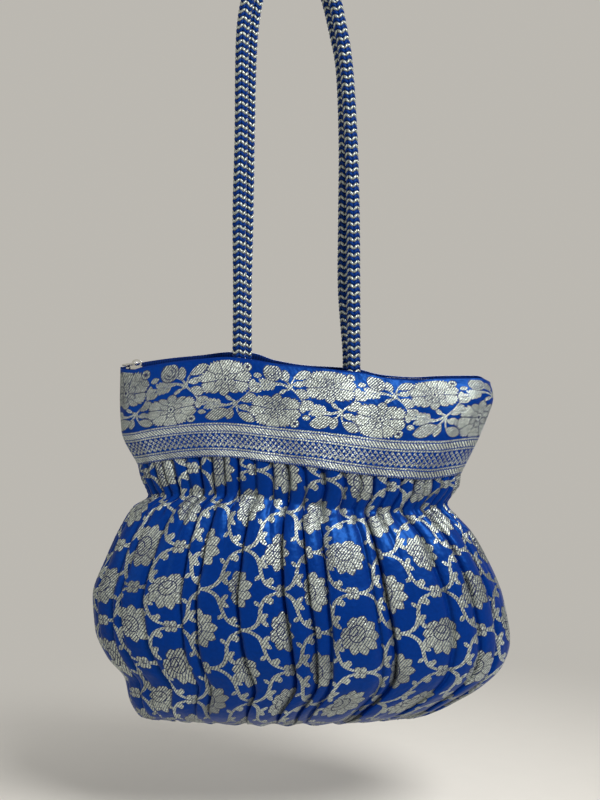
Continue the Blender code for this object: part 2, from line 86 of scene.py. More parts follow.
# Outlines of the pouch from the seam down, and its half depths
BODY_LEFT = (
    (-137.7, -452.7), (-133.7, -468.9), (-127.8, -486.0), (-140.9, -495.9), (-152.1, -513.0),
    (-165.2, -542.7), (-176.0, -575.1), (-174.2, -603.9), (-162.9, -630.0), (-148.1, -648.9),
    (-145.4, -666.9), (-139.5, -679.5), (-135.0, -684.9), (-127.0, -687.0),
)
BODY_RIGHT = (
    (153.0, -464.4), (150.3, -476.1), (139.9, -493.2), (148.5, -504.0), (161.1, -517.5),
    (175.9, -542.7), (189.9, -576.9), (195.7, -612.9), (189.9, -636.3), (171.9, -654.3),
    (150.3, -667.8), (134.1, -677.7), (123.3, -683.1), (111.6, -686.0),
)
BODY_DEPTH = (37.5, 36.0, 34.0, 39.0, 45.0, 52.0, 56.0, 57.0, 54.0, 48.0, 40.0, 28.0, 14.0, 0.0)
BOTTOM_SAG = 6.5
# Where the waist is, as a share of the height from the seam to the bottom
WAIST_AT = 2.0 / (len(BODY_DEPTH) - 1)
# How full the cross sections are: 1 is an ellipse, less is boxier
SECTION_POWER = 0.85

# The gathers: 30 pleats at the waist, of which some run on down the pouch as creases. Each crease is
# given as the pleat that it starts from and its strength.
FOLD_COUNT = 30
CREASES = (
    (2, 0.5), (4, 0.5), (5, 0.4), (7, 0.7), (9, 0.6), (10, 1.0), (12, 0.9), (14, 1.0), (15, 0.8),
    (16, 0.7), (18, 0.5), (19, 1.0), (22, 0.6), (24, 0.7), (26, 0.5),
)
# A crease is steep on its +X side and eases off on the other. Widths are shares of the panel's.
CREASE_STEEP = 0.0026
CREASE_EASY = 0.0140
# The lip that leans over a crease: how far it reaches, where it is and how wide
LIP_REACH = 0.0085
LIP_AT = 0.0045
LIP_WIDTH = 0.0036
# How far the cloth puffs out between the creases, and the deepest that any fold goes, which keeps the
# cloth clear of the lining
PUFF = 4.0
DEEPEST_FOLD = 6.6
# Knife pleats: the lean of their valleys within a fold, and how far a pleat of full depth laps over
PLEAT_SKEW = 1.6
PLEAT_SKEW_SHIFT = 0.148
PLEAT_LIP = 0.0035
PLEAT_FULL_DEPTH = 6.0
PLEAT_LIP_AT = 0.80
PLEAT_LIP_WIDTH = 0.16
# Small gathers along the bottom seam, and the draw of the elastic at the waist
TUCK_DEPTH = 3.0
WAIST_DRAW = 1.6
WAIST_DRAW_WIDTH = 0.016

# Cloth as it lies flat before it is sewn, and the thickness of the stiffened border
POUCH_FLAT = (468.0, 254.0)
YOKE_FLAT = (350.0, 92.0)
YOKE_WALL = 1.6
# Spacing of the cloth's points, between the figures and along their edges
CLOTH_STEP = 2.2
SHAPE_STEP = 2.6
# How finely the gathered form is measured when the flat cloth is laid on it
STEPS_ACROSS = 2400
STEPS_DOWN = 400
MEASURED_ROWS = 90

# Which thread each face of a woven cloth shows. The inner side's materials follow those five.
GROUND, FIGURE, HATCHED, TWILL, OUTLINE = range(5)
INNER_SIDE = 5

# The pouch's vine, in flat millimetres: its repeat, where it starts and the ways that its blooms face
VINE_REPEAT = (78.0, 63.0)
VINE_SHIFT = (30.0, 8.0)
VINE_FACING = (12.0, -18.0, 38.0, -4.0, 78.0)
# The border: its repeat and start, the levels of its two rows of blooms, and its plain hem at the top
BORDER_REPEAT = 92.0
BORDER_SHIFT = 12.0
UPPER_ROW = 18.8
LOWER_ROW = 43.0
TOP_HEM = 2.6
# The striped edge below the border's field: its plain ground, its bands (thread, top, foot), its lattice
# and its dots
FIELD_HEIGHT = 60.0
EDGE_GROUND = (-0.8, 39.2)
EDGE_BANDS = (
    (FIGURE, 0.0, 1.5), (TWILL, 2.3, 7.3), (FIGURE, 8.1, 9.6), (FIGURE, 23.2, 24.7), (TWILL, 25.5, 30.3),
)
LATTICE_STEP = 5.2
LATTICE_TOP = 10.4
LATTICE_FOOT = 22.4
LATTICE_HALF_LINE = 0.45
LATTICE_ROWS = 5
DIAMOND = (1.6, 1.7)
DOT_STEP = 2.4
DOT_LEVEL = 31.2
DOT_SIZE = 0.8

# Handle routes: (x, z) of the centreline from its left foot over the hook to its right foot
FRONT_ROUTE = (
    (-45.9, -352.0), (-45.6, -298.8), (-46.1, -233.0), (-44.4, -167.4), (-43.9, -102.6),
    (-42.4, -66.0), (-37.2, -36.9), (-28.6, -11.0), (-15.0, 2.4), (0.0, 6.5), (15.0, 2.4),
    (28.6, -11.0), (37.3, -36.9), (44.2, -68.0), (49.5, -102.6), (53.6, -167.4), (55.4, -233.0),
    (55.8, -298.8), (55.8, -360.0),
)
BACK_ROUTE = (
    (-41.7, -348.0), (-41.6, -298.8), (-40.0, -233.0), (-38.9, -167.4), (-37.5, -102.6),
    (-35.4, -66.0), (-31.0, -36.9), (-23.6, -11.5), (-12.6, 2.4), (0.0, 6.5), (13.0, 2.4),
    (24.6, -11.5), (33.0, -36.9), (40.4, -68.0), (46.5, -102.6), (49.0, -167.4), (48.6, -233.0),
    (48.4, -298.8), (52.6, -356.0),
)
# Distance of each cord from the middle plane over the hook and at its feet, how deep it goes into the
# tape, and the points of its line
CORD_APART = 6.7
CORD_FOOT_DEPTH = 11.9
CORD_TUCK = 9.0
CORD_POINTS = 700
# The braid: columns of floats round a core, their repeat along the cord and their lean in degrees
BRAID_COLUMNS = 8
BRAID_REPEAT = 6.9
BRAID_LEAN = 52.0
# A float's half length as a share of a column, its half width in blue and in silver, its half height,
# and how far its middle lies below the cord's surface
FLOAT_REACH = 0.66
FLOAT_WIDTHS = (1.65, 1.45)
FLOAT_HEIGHT = 1.35
FLOAT_SUNK = 1.25
# The plain end of a cord, and the core below its surface, with a ring at every few points of the line
CORD_END_ROOM = 2.0
CORE_SUNK = 1.5
CORE_SIDES = 16
CORE_STEP = 5

# The zip's line, the slot between its coils, and the size of a coil's loops
ZIP_LEFT = (-148.0, -372.7)
ZIP_RIGHT = (168.0, -385.1)
ZIP_SLOT = 0.6
COIL_WIDTH = 2.2
COIL_HEIGHT = 1.8
COIL_PITCH = 1.6
COIL_THICKNESS = 1.24
STOP_LENGTH = 3.6
# The stitches that hold the tapes, and their distance from the slider and from the cords' middles
SLIDER_HALF_WIDTH = 4.3
SLIDER_ROOM = 1.2
CORD_ROOM = 9.0
STITCH_INSET = 6.0
STITCH_PITCH = 3.6
STITCH_HALF_SIZE = (0.38 * STITCH_PITCH, 0.45, 0.35)

# Tints of the gloss: blue on the blue threads, none on the silver ones
SATIN_GLOSS = (0.05, 0.30, 1.0, 1.0)
NAVY_GLOSS = (0.2, 0.4, 1.0, 1.0)
BRAID_GLOSS = (0.1, 0.35, 1.0, 1.0)
PLAIN_GLOSS = (1.0, 1.0, 1.0, 1.0)
# Period of the ribs in the navy cloth, in metres, and how sharply a stripe of thread ends
TWILL_PERIOD = 0.0024
STRIPE_SHARPNESS = 9.0

# The camera: what it looks at, how far off it stands, and the height that it takes in there
VIEW_CENTRE = (8.1, -400.5)
VIEW_DISTANCE = 950.0
VIEW_HEIGHT = 720.0
# Lamps: name, place and size in metres, and watts
LAMPS = (
    ("key", (0.75, -1.0, 0.55), 0.7, 28.0),
    ("fill", (-0.95, -0.95, -0.2), 1.0, 2.5),
    ("back", (0.2, 1.2, 0.2), 1.0, 8.0),
)
# The height that the lamps aim at, in metres, and the plain light from all round
LAMP_AIM = -0.5
ROOM_LIGHT = (1.0, 0.99, 0.97, 1.0)
ROOM_STRENGTH = 0.15
# The floor: its height, its tone over the backdrop's, which makes up for the light that it lacks, and
# from where to where it fades into the backdrop, in metres
FLOOR_LEVEL = -790.0
FLOOR_TONE = 1.6
FLOOR_FADE = (("From Min", 0.15), ("From Max", 0.75))


def size_property(name, description, default, low, high):
    """A size in millimetres for the sidebar."""
    return FloatProperty(name=name, description=description, default=default, min=low, max=high)


def colour_property(name, description, default):
    """A colour for the sidebar."""
    return FloatVectorProperty(
        name=name, description=description, default=default, subtype="COLOR", size=4
    )


class HandbagSizes(bpy.types.PropertyGroup):
    """Sizes of the cloth and the braid that can be changed without a change to the frame"""

    pleat_depth: size_property("Pleat depth", "How deep the gathers are under the yoke", 6.0, 0.0, 7.0)
    crease_depth: size_property("Crease depth", "How deep the pouch's long creases are", 9.0, 0.0, 9.5)
    cord_diameter: size_property("Cord diameter", "Thickness of the braided handles", 12.4, 10.0, 14.0)


class HandbagColours(bpy.types.PropertyGroup):
    """Colours of the threads, the metal and the stage"""

    satin: colour_property("Satin", "Colour of the blue ground", (0.0006, 0.019, 0.155, 1.0))
    zari: colour_property("Zari", "Colour of the silver thread", (0.35, 0.38, 0.34, 1.0))
    navy: colour_property("Navy", "Colour of the zip tape and lining", (0.001, 0.013, 0.105, 1.0))
    nickel: colour_property("Nickel", "Colour of the zip's metal", (0.66, 0.65, 0.60, 1.0))
    elastic: colour_property("Elastic", "Colour of the waist elastic", (0.75, 0.76, 0.78, 1.0))
    backdrop: colour_property("Backdrop", "Colour behind and under the bag", (0.50, 0.48, 0.44, 1.0))


def sizes():
    return bpy.context.scene.handbag_sizes


def panel_colour(name):
    """One of the colours that the panel shows, as plain numbers."""
    return tuple(getattr(bpy.context.scene.handbag_colours, name))


def smooth_curve(knots, values):
    """A function through the given values that never overshoots them (monotone cubic)."""
    x, y = np.asarray(knots, float), np.asarray(values, float)
    step = np.diff(x)
    slope = np.diff(y) / step
    tangent = np.zeros(len(x))
    tangent[0], tangent[-1] = slope[0], slope[-1]
    for i in range(1, len(x) - 1):
        if slope[i - 1] * slope[i] > 0:
            weight_a = 2 * step[i] + step[i - 1]
            weight_b = step[i] + 2 * step[i - 1]
            tangent[i] = (weight_a + weight_b) / (weight_a / slope[i - 1] + weight_b / slope[i])

    def value(at):
        i = np.clip(np.searchsorted(x, at) - 1, 0, len(x) - 2)
        t = (at - x[i]) / step[i]
        return (
            (1 + 2 * t) * (1 - t) ** 2 * y[i]
            + t * (1 - t) ** 2 * step[i] * tangent[i]
            + t * t * (3 - 2 * t) * y[i + 1]
            + t * t * (t - 1) * step[i] * tangent[i + 1]
        )

    return value


def even_curve(values):
    """A smooth function through values that stand at even shares from 0 to 1."""
    return smooth_curve(np.linspace(0.0, 1.0, len(values)), values)


yoke_left_x, yoke_left_z = (even_curve(values) for values in zip(*YOKE_LEFT))
yoke_right_x, yoke_right_z = (even_curve(values) for values in zip(*YOKE_RIGHT))
yoke_depth = even_curve(YOKE_DEPTH)
body_left_x, body_left_z = (even_curve(values) for values in zip(*BODY_LEFT))
body_right_x, body_right_z = (even_curve(values) for values in zip(*BODY_RIGHT))
body_depth = even_curve(BODY_DEPTH)
top_front, top_back, seam_drop = (
    smooth_curve(*zip(*points)) for points in (TOP_EDGE_FRONT, TOP_EDGE_BACK, SEAM_DROP)
)


def section(left, right, depth, across, inward):
    """Points of the bag's cross sections: x, distance from the middle plane and share of the width."""
    angle = (across - 0.5) * math.pi
    half = np.maximum((right - left) / 2 - inward, 0.0)
    out = np.maximum(np.cos(angle), 0.0) ** SECTION_POWER * np.maximum(depth - inward, 0.0)
    return (left + right) / 2 + half * np.sin(angle), out, (1 + np.sin(angle)) / 2


def yoke_place(across, down, side):
    """Points of the yoke's outer face, in mm. Across and down run from 0 to 1."""
    inward = np.sin(across * 33.0 + 3.0 * down + side) * np.sin(down * 4.0 + across * 9.0 + 1.0)
    inward = YOKE_RIPPLE * inward + YOKE_FINE_RIPPLE * np.sin(across * 67.0 - 5.0 * down)
    inward *= np.minimum(1.0, 12 * np.minimum(across, 1 - across)) * np.clip(0.3 + 4 * down, 0.0, 1.0)
    left, right = yoke_left_x(down), yoke_right_x(down)
    x, out, share = section(left, right, yoke_depth(down), across, inward)
    straight = yoke_left_z(down) * (1 - share) + yoke_right_z(down) * share
    rise = top_front(share) if side < 0 else top_back(share)
    wave = SEAM_WAVE * np.sin(2 * math.pi * share) - seam_drop(share)
    return np.stack([x, side * out, straight + rise * (1 - down) + wave * down], axis=-1)


def gather_depth(across, down, side):
    """How far each point of the gathered cloth lies inside the pouch's full outline, in mm, and how
    far the lips of pleats and creases lean over their valleys, as a share of the width."""
    seam = np.clip(np.minimum(across, 1 - across) * FOLD_COUNT, 0.0, 1.0)
    # Pleats that drift a little, each of its own depth and length
    drift = 0.10 * np.sin(across * 41.0 + side) + 0.16 * np.sin(down * 7.0 + across * 17.0)
    phase = across * FOLD_COUNT + drift
    shifted = phase + PLEAT_SKEW_SHIFT
    fold = np.floor(shifted)
    valley = 1 - np.abs(2 * (shifted - fold) ** PLEAT_SKEW - 1)
    uneven = 1.0 + 0.28 * np.sin(fold * 2.4 + 1.0 + side) + 0.12 * np.sin(fold * 5.1)
    over = np.maximum(down - WAIST_AT, 0.0)
    top = sizes().pleat_depth * np.exp(-((over / (0.13 + 0.05 * np.sin(fold * 1.7))) ** 1.4))
    depth = top * (uneven * valley**2.2 - 0.22 * np.clip(down / 0.08, 0.0, 1.0))
    # The elastic's draw at the waist
    drawn = WAIST_DRAW * np.exp(-(((down - WAIST_AT) / WAIST_DRAW_WIDTH) ** 2))
    depth += drawn * (0.6 + 0.4 * np.cos(phase * math.pi))
    # The puff of the cloth, the pleats' lips, and the creases with theirs
    ramp = np.clip((down - 0.12) / 0.22, 0, 1) * np.clip((1.04 - down) / 0.22, 0.0, 1)
    ground = sizes().crease_depth * ramp
    depth -= PUFF * ramp * np.sin(math.pi * across) ** 0.7
    lip = np.exp(-(((shifted - fold - PLEAT_LIP_AT) / PLEAT_LIP_WIDTH) ** 2))
    lip *= PLEAT_LIP * top / PLEAT_FULL_DEPTH
    for fold_at, strength in CREASES:
        lean = 0.010 * math.sin(fold_at * 1.9 + side) * down + 0.003 * np.sin(down * 11 + fold_at)
        gap = across - (2 * fold_at + 1) / (2 * FOLD_COUNT) - lean
        reach = np.where(gap > 0, CREASE_STEEP, CREASE_EASY)
        depth += ground * strength * np.exp(-((np.abs(gap) / reach) ** 1.3))
        lip += LIP_REACH * ramp * strength * np.exp(-(((gap - LIP_AT) / LIP_WIDTH) ** 2))
    # Small gathers above the bottom seam, and a slow swell all over
    tuck = np.clip((down - 0.80) / 0.16, 0, 1)
    pleat = 1 - np.abs(2 * ((phase * 0.8) % 1.0) - 1)
    depth += TUCK_DEPTH * tuck * pleat**1.6
    swell = 0.9 * np.sin(across * 29 + 3 * down + side) * np.sin(down * 8 + across * 5)
    swell += 0.6 * np.sin(across * 61 - 9 * down) * np.sin(down * 17 + across * 23)
    depth += swell * np.clip((down - 0.2) / 0.2, 0, 1)
    return np.minimum(depth, DEEPEST_FOLD) * seam, lip * seam


def pouch_place(across, down, side):
    """Points of the gathered pouch, in mm."""
    inward, lip = gather_depth(across, down, side)
    left, right = body_left_x(down), body_right_x(down)
    x, out, share = section(left, right, body_depth(down), across - lip, inward)
    straight = body_left_z(down) * (1 - share) + body_right_z(down) * share
    wave = SEAM_WAVE * np.sin(2 * math.pi * share) * np.exp(-((down / WAVE_FADE) ** 2))
    wave -= seam_drop(share) * np.exp(-((down / SEAM_DROP_FADE) ** 2))
    sag = BOTTOM_SAG * np.sin(math.pi * share) * down**6
    ripple = 1.3 * np.sin(across * 95.0) * np.clip((down - 0.9) / 0.1, 0, 1)
    return np.stack([x, side * out, straight + wave - sag + ripple], axis=-1)


def flat_to_bag(points, flat, place, side):
    """Lays flat cloth on the bag: its rows keep their order down, and each row's own length is shared
    out along the folds, so that the figures sink into them as they do in sewn cloth."""
    across, down = np.linspace(0.0, 1.0, STEPS_ACROSS), np.linspace(0.0, 1.0, STEPS_DOWN)
    rows = MEASURED_ROWS
    middle = place(np.full_like(down, 0.5), down, side)
    along = np.concatenate([[0], np.cumsum(np.linalg.norm(np.diff(middle, axis=0), axis=1))])
    level = np.interp(points[:, 1] / flat[1], along / along[-1], down)
    lengths = np.zeros((rows + 1, len(across)))
    for row in range(rows + 1):
        line = place(across, np.full_like(across, row / rows), side)
        lengths[row, 1:] = np.cumsum(np.linalg.norm(np.diff(line, axis=0), axis=1))
        lengths[row] /= lengths[row, -1]
    share = np.clip(points[:, 0] / flat[0], 0.0, 1.0)
    row = np.clip((level * rows).astype(int), 0, rows - 1)
    blend = level * rows - row
    where = np.zeros(len(points))
    for r in range(rows):
        here = row == r
        upper = np.interp(share[here], lengths[r], across)
        lower = np.interp(share[here], lengths[r + 1], across)
        where[here] = upper * (1 - blend[here]) + lower * blend[here]
    return place(where, level, side)


def turned(shape, x=0.0, y=0.0, angle=0.0):
    """A flat shape turned by an angle in degrees and then moved."""
    c, s = math.cos(math.radians(angle)), math.sin(math.radians(angle))
    return np.asarray(shape, float) @ np.array([[c, s], [-s, c]]) + np.array([x, y])


def leaf(length, width, fullness=0.8, tip=1.0):
    """A leaf or petal that starts at the origin and points to +X. A tip over 1 sets it fuller there."""
    t = np.array([0.0, 0.08, 0.24, 0.42, 0.6, 0.76, 0.9, 1.0])
    half = width / 2 * np.sin(math.pi * t**tip) ** fullness
    upper = np.stack([length * t, half], axis=1)
    lower = np.stack([length * t, -half], axis=1)[::-1]
    return np.vstack([upper, lower[1:-1]])


def ribbon(route, width, end_width):
    """A stem along a smooth curve through the route, tapering from one width to the other."""
    route = np.asarray(route, float)
    at = np.linspace(0, len(route) - 1, 3 * (len(route) - 1) + 1)
    knots = np.arange(len(route))
    line = np.stack([smooth_through(knots, route[:, k], at) for k in range(2)], axis=1)
    ahead = np.gradient(line, axis=0)
    ahead /= np.linalg.norm(ahead, axis=1)[:, None]
    beside = np.stack([-ahead[:, 1], ahead[:, 0]], axis=1)
    half = np.linspace(width, end_width, len(line))[:, None] / 2
    return np.vstack([line + beside * half, (line - beside * half)[::-1]])


def smooth_through(knots, values, at):
    """Catmull-Rom values at the given places."""
    padded = np.concatenate([[2 * values[0] - values[1]], values, [2 * values[-1] - values[-2]]])
    i = np.clip(at.astype(int), 0, len(knots) - 2)
    t = at - i
    a, b, c, d = padded[i], padded[i + 1], padded[i + 2], padded[i + 3]
    return 0.5 * (
        2 * b + (c - a) * t + (2 * a - 5 * b + 4 * c - d) * t**2 + (3 * b - 3 * c + d - a) * t**3
    )


def fan_petal(inner, outer, spread, teeth):
    """A petal of a large bloom: a fan about +X, with a toothed edge."""
    half = math.radians(spread)
    base = [(inner * math.cos(a), inner * math.sin(a)) for a in (-half * 0.6, half * 0.6)]
    edge = []
    for i in range(2 * teeth + 1):
        angle = half - 2 * half * i / (2 * teeth)
        reach = outer * (1 - 0.10 * (i % 2 == 0)) * (1 - 0.10 * (angle / half) ** 2)
        edge.append((reach * math.cos(angle), reach * math.sin(angle)))
    return np.array([base[0], base[1]] + edge)


def disc(rx, ry, sides=14):
    """A flat oval."""
    angle = np.linspace(0, 2 * math.pi, sides, endpoint=False)
    return np.stack([rx * np.cos(angle), ry * np.sin(angle)], axis=1)


def moved(shapes, x=0.0, y=0.0, angle=0.0):
    """Woven shapes, each with its thread, turned and moved together."""
    return [(kind, turned(shape, x, y, angle)) for kind, shape in shapes]


def edged(kind, shape, edge=0.55):
    """A shape over a slightly larger dark one, which leaves a thin line round it."""
    middle = (shape.min(axis=0) + shape.max(axis=0)) / 2
    size = (shape.max(axis=0) - shape.min(axis=0)) / 2
    return [(OUTLINE, middle + (shape - middle) * (1 + edge / size)), (kind, shape)]


def lotus():
    """The pouch's bloom: a hatched half round with a dark rim and petals fanned about +X."""
    shapes = []
    for angle, reach, kind in (
        (132, 14.0, HATCHED),
        (99, 17.0, HATCHED),
        (66, 18.5, FIGURE),
        (33, 19.0, FIGURE),
        (0, 19.5, FIGURE),
    ):
        petal = edged(kind, turned(leaf(reach - 4.0, 8.8, 0.74, 1.25), 4.0))
        for turn in (-angle, angle) if angle else (0,):
            shapes += moved(petal, angle=turn)
    sepal = edged(HATCHED, turned(leaf(11.0, 6.0, 0.7, 1.2), 1.0))
    for angle in (158, 202):
        shapes += moved(sepal, angle=angle)
    arc = ribbon([(-4.4, -4.6), (-1.2, -3.2), (0.4, 0), (-1.2, 3.2), (-4.4, 4.6)], 0.9, 0.9)
    return shapes + [(OUTLINE, disc(6.6, 8.2, 20)), (HATCHED, disc(5.7, 7.3, 20)), (OUTLINE, arc)]


def fork(size):
    """Two leaves that part from the origin about +X, with a small one between them."""
    return [
        (FIGURE, turned(leaf(size, size * 0.46, 0.65, 1.25), angle=-38)),
        (FIGURE, turned(leaf(size * 0.95, size * 0.48, 0.65, 1.25), angle=34)),
        (FIGURE, leaf(size * 0.6, size * 0.3, 0.7)),
    ]


def heart(size):
    """A heart-shaped leaf that points away from +X."""
    lobes = [turned(disc(size * 0.36, size * 0.3, 10), size * 0.5, s * size * 0.2) for s in (-1, 1)]
    return [(FIGURE, lobe) for lobe in lobes] + [(FIGURE, leaf(size * 0.75, size * 0.66, 0.8, 1.3))]


def vine_unit(facing):
    """One node of the pouch's trellis, its two stems to the next nodes and the bloom they enclose."""
    shapes = []
    for flip in (-1, 1):
        bend = np.array([1.0, flip])
        first = ribbon([(2, 0), (11, 1.0), (18.0, 5.5), (21.5, 13.5)], 1.9, 3.7)
        last = ribbon([(20.5, 10.5), (22.0, 18.5), (26.5, 26.5), (37, 31.0)], 3.2, 2.0)
        tips = moved(fork(8.5), 20.0, 9.5, -4)
        inner_leaf = turned(leaf(7.0, 3.4, 0.7, 1.3), 22.5, 19.0, 140)
        half = [(FIGURE, first), (FIGURE, last), *tips, (FIGURE, inner_leaf)]
        shapes += [(kind, shape * bend) for kind, shape in half]
    for angle in (45, 135, 225, 315):
        shapes += edged(FIGURE, turned(leaf(5.8, 5.0, 0.6, 1.2), angle=angle), 0.4)
    shapes += [(OUTLINE, disc(1.3, 1.3, 8)), (FIGURE, disc(0.7, 0.7, 6))]
    for y, angle in ((-4.0, 248), (4.0, 112)):
        shapes += moved(heart(7.2), -9.0, y, angle)
    return shapes + [(kind, turned(shape * 0.92, 37.5, 0.0, facing)) for kind, shape in lotus()]


def pouch_shapes():
    """The whole trellis of the pouch, with a node in the middle between every four."""
    shapes = []
    columns = range(-1, math.ceil(POUCH_FLAT[0] / VINE_REPEAT[0]) + 1)
    rows = range(-1, math.ceil(POUCH_FLAT[1] / VINE_REPEAT[1]) + 2)
    for column in columns:
        for row in rows:
            for half in (0.0, 0.5):
                x = VINE_SHIFT[0] + (column + half) * VINE_REPEAT[0]
                y = VINE_SHIFT[1] + (row + half) * VINE_REPEAT[1]
                facing = VINE_FACING[(2 * column + round(2 * half) + 3 * row) % len(VINE_FACING)]
                shapes += moved(vine_unit(facing), x, y)
    return shapes


def bloom():
    """The border's large bloom, facing up."""
    shapes = []
    sepal = edged(HATCHED, turned(leaf(11.5, 7.5, 0.6, 1.2), 5))
    for angle in (52, 90, 128):
        shapes += moved(sepal, angle=angle)
    petal = [(OUTLINE, fan_petal(3.0, 21.2, 20.6, 5)), (FIGURE, fan_petal(3.5, 20.5, 18.5, 5))]
    for angle in (-206, -166, -128, -90, -52, -14, 26):
        shapes += moved(petal, angle=angle)
    inner_petal = edged(HATCHED, turned(leaf(7.4, 5.2, 0.6, 1.1), 2.0))
    for angle in range(-150, 211, 60):
        shapes += moved(inner_petal, angle=angle)
    shapes += edged(FIGURE, disc(2.6, 3.4, 12))
    shapes.append((OUTLINE, disc(1.0, 1.6, 8)))
    return [(kind, shape * np.array([1.13, 0.91])) for kind, shape in shapes]


def rosebud(radius):
    """A round bud with two curled lines in it."""
    shapes = edged(HATCHED, disc(radius, radius * 0.92, 18), 0.8)
    for share in (0.72, 0.36):
        arc = [
            (share * radius * math.cos(a), share * radius * 0.9 * math.sin(a))
            for a in np.radians((-150, -100, -40, 20, 80))
        ]
        shapes.append((OUTLINE, ribbon(arc, 0.9, 0.8)))
    return shapes


def feather(length, width, pairs):
    """A leaf cut into pairs of leaflets along a rib towards +X."""
    shapes = [(FIGURE, ribbon([(0, 0), (length / 2, 0.6), (length, 0)], 1.6, 0.8))]
    for i in range(pairs):
        at = length * (0.22 + 0.62 * i / pairs)
        reach = width * (0.75 + 0.25 * math.sin(math.pi * (i + 1) / (pairs + 1)))
        for lean in (-52, 52):
            shapes.append((FIGURE, turned(leaf(reach, width * 0.42, 0.6, 1.2), at, 0, lean)))
    return shapes + [(FIGURE, turned(leaf(width * 0.9, width * 0.45, 0.6, 1.2), length * 0.8, 0))]


def border_unit(with_bud):
    """Half a repeat of the border's field: a bloom that faces up and the spray under it."""
    shapes = [
        (FIGURE, ribbon(route, width, end_width))
        for route, width, end_width in (
            ([(0, 12), (4, 17), (12, 21)], 2.0, 2.0),
            ([(12, 21), (2, 24.5), (-8, 24), (-18, 20.5)], 2.4, 1.4),
            ([(12, 21), (8, 27), (0, 30.5)], 2.2, 1.2),
            ([(12, 21), (13, 28), (17, 34)], 2.0, 1.0),
            ([(12, 21), (18, 15), (25, 6)], 2.0, 1.0),
        )
    ]
    shapes += moved(feather(21.0, 7.4, 4), 2.5, 23.8, 186)
    for x, y, length, width, angle, kind in (
        (-16, 20.0, 10.0, 5.2, 214, HATCHED),
        (8, 26.5, 11.5, 7.2, 100, HATCHED),
        (14, 31.0, 17.0, 8.0, 22, HATCHED),
        (13, 24.5, 11.5, 5.6, 8, FIGURE),
        (16, 19.5, 13.0, 8.6, -30, HATCHED),
        (23, 9.0, 11.0, 6.0, -80, FIGURE),
        (24, 9.5, 9.5, 5.4, -22, FIGURE),
        (8, 19.5, 8.0, 3.6, 214, FIGURE),
        (-23, 27.5, 9.0, 5.0, 150, HATCHED),
        (-14, 30.5, 7.5, 4.6, 190, FIGURE),
        (22, 24.0, 6.5, 4.4, 60, FIGURE),
    ):
        shapes += edged(kind, turned(leaf(length, width, 0.65, 1.15), x, y, angle), 0.4)
    if with_bud:
        shapes += moved(rosebud(8.0), -4.5, 34.0)
    else:
        shapes += edged(HATCHED, turned(leaf(22, 11.5, 0.7, 1.1), 7, 29.5, 164))
    shapes += edged(FIGURE, turned(disc(3.8, 3.4, 12), -27.0, 36.0))
    shapes.append((OUTLINE, turned(disc(1.8, 1.5, 8), -27.0, 36.0)))
    return shapes + bloom()


def strip(top, foot):
    """A stripe right across the border cloth and a little past its ends."""
    end = YOKE_FLAT[0] + 4
    return np.array([(-2, top), (end, top), (end, foot), (-2, foot)])


def yoke_shapes():
    """The border: two rows of blooms, and the striped edge with its lattice, diamonds and dots."""
    shapes = []
    upper, lower = border_unit(False), border_unit(True)
    lower = [(kind, shape * np.array([1.0, -1.0])) for kind, shape in lower]
    for repeat in range(-1, math.ceil(YOKE_FLAT[0] / BORDER_REPEAT) + 1):
        x = BORDER_SHIFT + repeat * BORDER_REPEAT
        shapes += moved(upper, x, UPPER_ROW)
        shapes += moved(lower, x + BORDER_REPEAT / 2, LOWER_ROW)
    shapes.append((GROUND, strip(-2, TOP_HEM)))
    for kind, top, foot in ((GROUND, *EDGE_GROUND), *EDGE_BANDS):
        shapes.append((kind, strip(FIELD_HEIGHT + top, FIELD_HEIGHT + foot)))
    top, foot = FIELD_HEIGHT + LATTICE_TOP, FIELD_HEIGHT + LATTICE_FOOT
    half = LATTICE_HALF_LINE
    for column in range(-3, int(YOKE_FLAT[0] / LATTICE_STEP) + 1):
        x = column * LATTICE_STEP
        for start, end in ((x, x + foot - top), (x + foot - top, x)):
            line = [(start - half, top), (start + half, top), (end + half, foot), (end - half, foot)]
            shapes.append((HATCHED, np.array(line)))
    wide, high = DIAMOND
    diamond = np.array([(0, -high), (wide, 0), (0, high), (-wide, 0)])
    for row in range(LATTICE_ROWS):
        for column in range(int(YOKE_FLAT[0] / LATTICE_STEP) + 1):
            x = (column + 0.5 * (row % 2)) * LATTICE_STEP
            y = top + 0.2 + (row + 0.35) * LATTICE_STEP / 2
            shapes.append((FIGURE, diamond + np.array([x, min(y, foot - high)])))
    dot = np.array([(0, -1), (1, 0), (0, 1), (-1, 0)]) * DOT_SIZE
    for column in range(int(YOKE_FLAT[0] / DOT_STEP)):
        shapes.append((FIGURE, dot + np.array([1.0 + column * DOT_STEP, FIELD_HEIGHT + DOT_LEVEL])))
    return shapes


def resampled(shape, step):
    """The shape's outline with a point at least every step."""
    points = []
    for start, end in zip(shape, np.roll(shape, -1, axis=0)):
        count = max(1, math.ceil(np.linalg.norm(end - start) / step))
        points += [start + (end - start) * k / count for k in range(count)]
    return points


def inside(points, outline):
    """Which points lie inside a closed outline that may cross itself (nonzero winding)."""
    turns = np.zeros(len(points), dtype=int)
    x, y = points[:, 0], points[:, 1]
    for (ax, ay), (bx, by) in zip(outline, np.roll(outline, -1, axis=0)):
        left = (bx - ax) * (y - ay) - (x - ax) * (by - ay)
        turns += (ay <= y) & (by > y) & (left > 0)
        turns -= (ay > y) & (by <= y) & (left < 0)
    return turns != 0


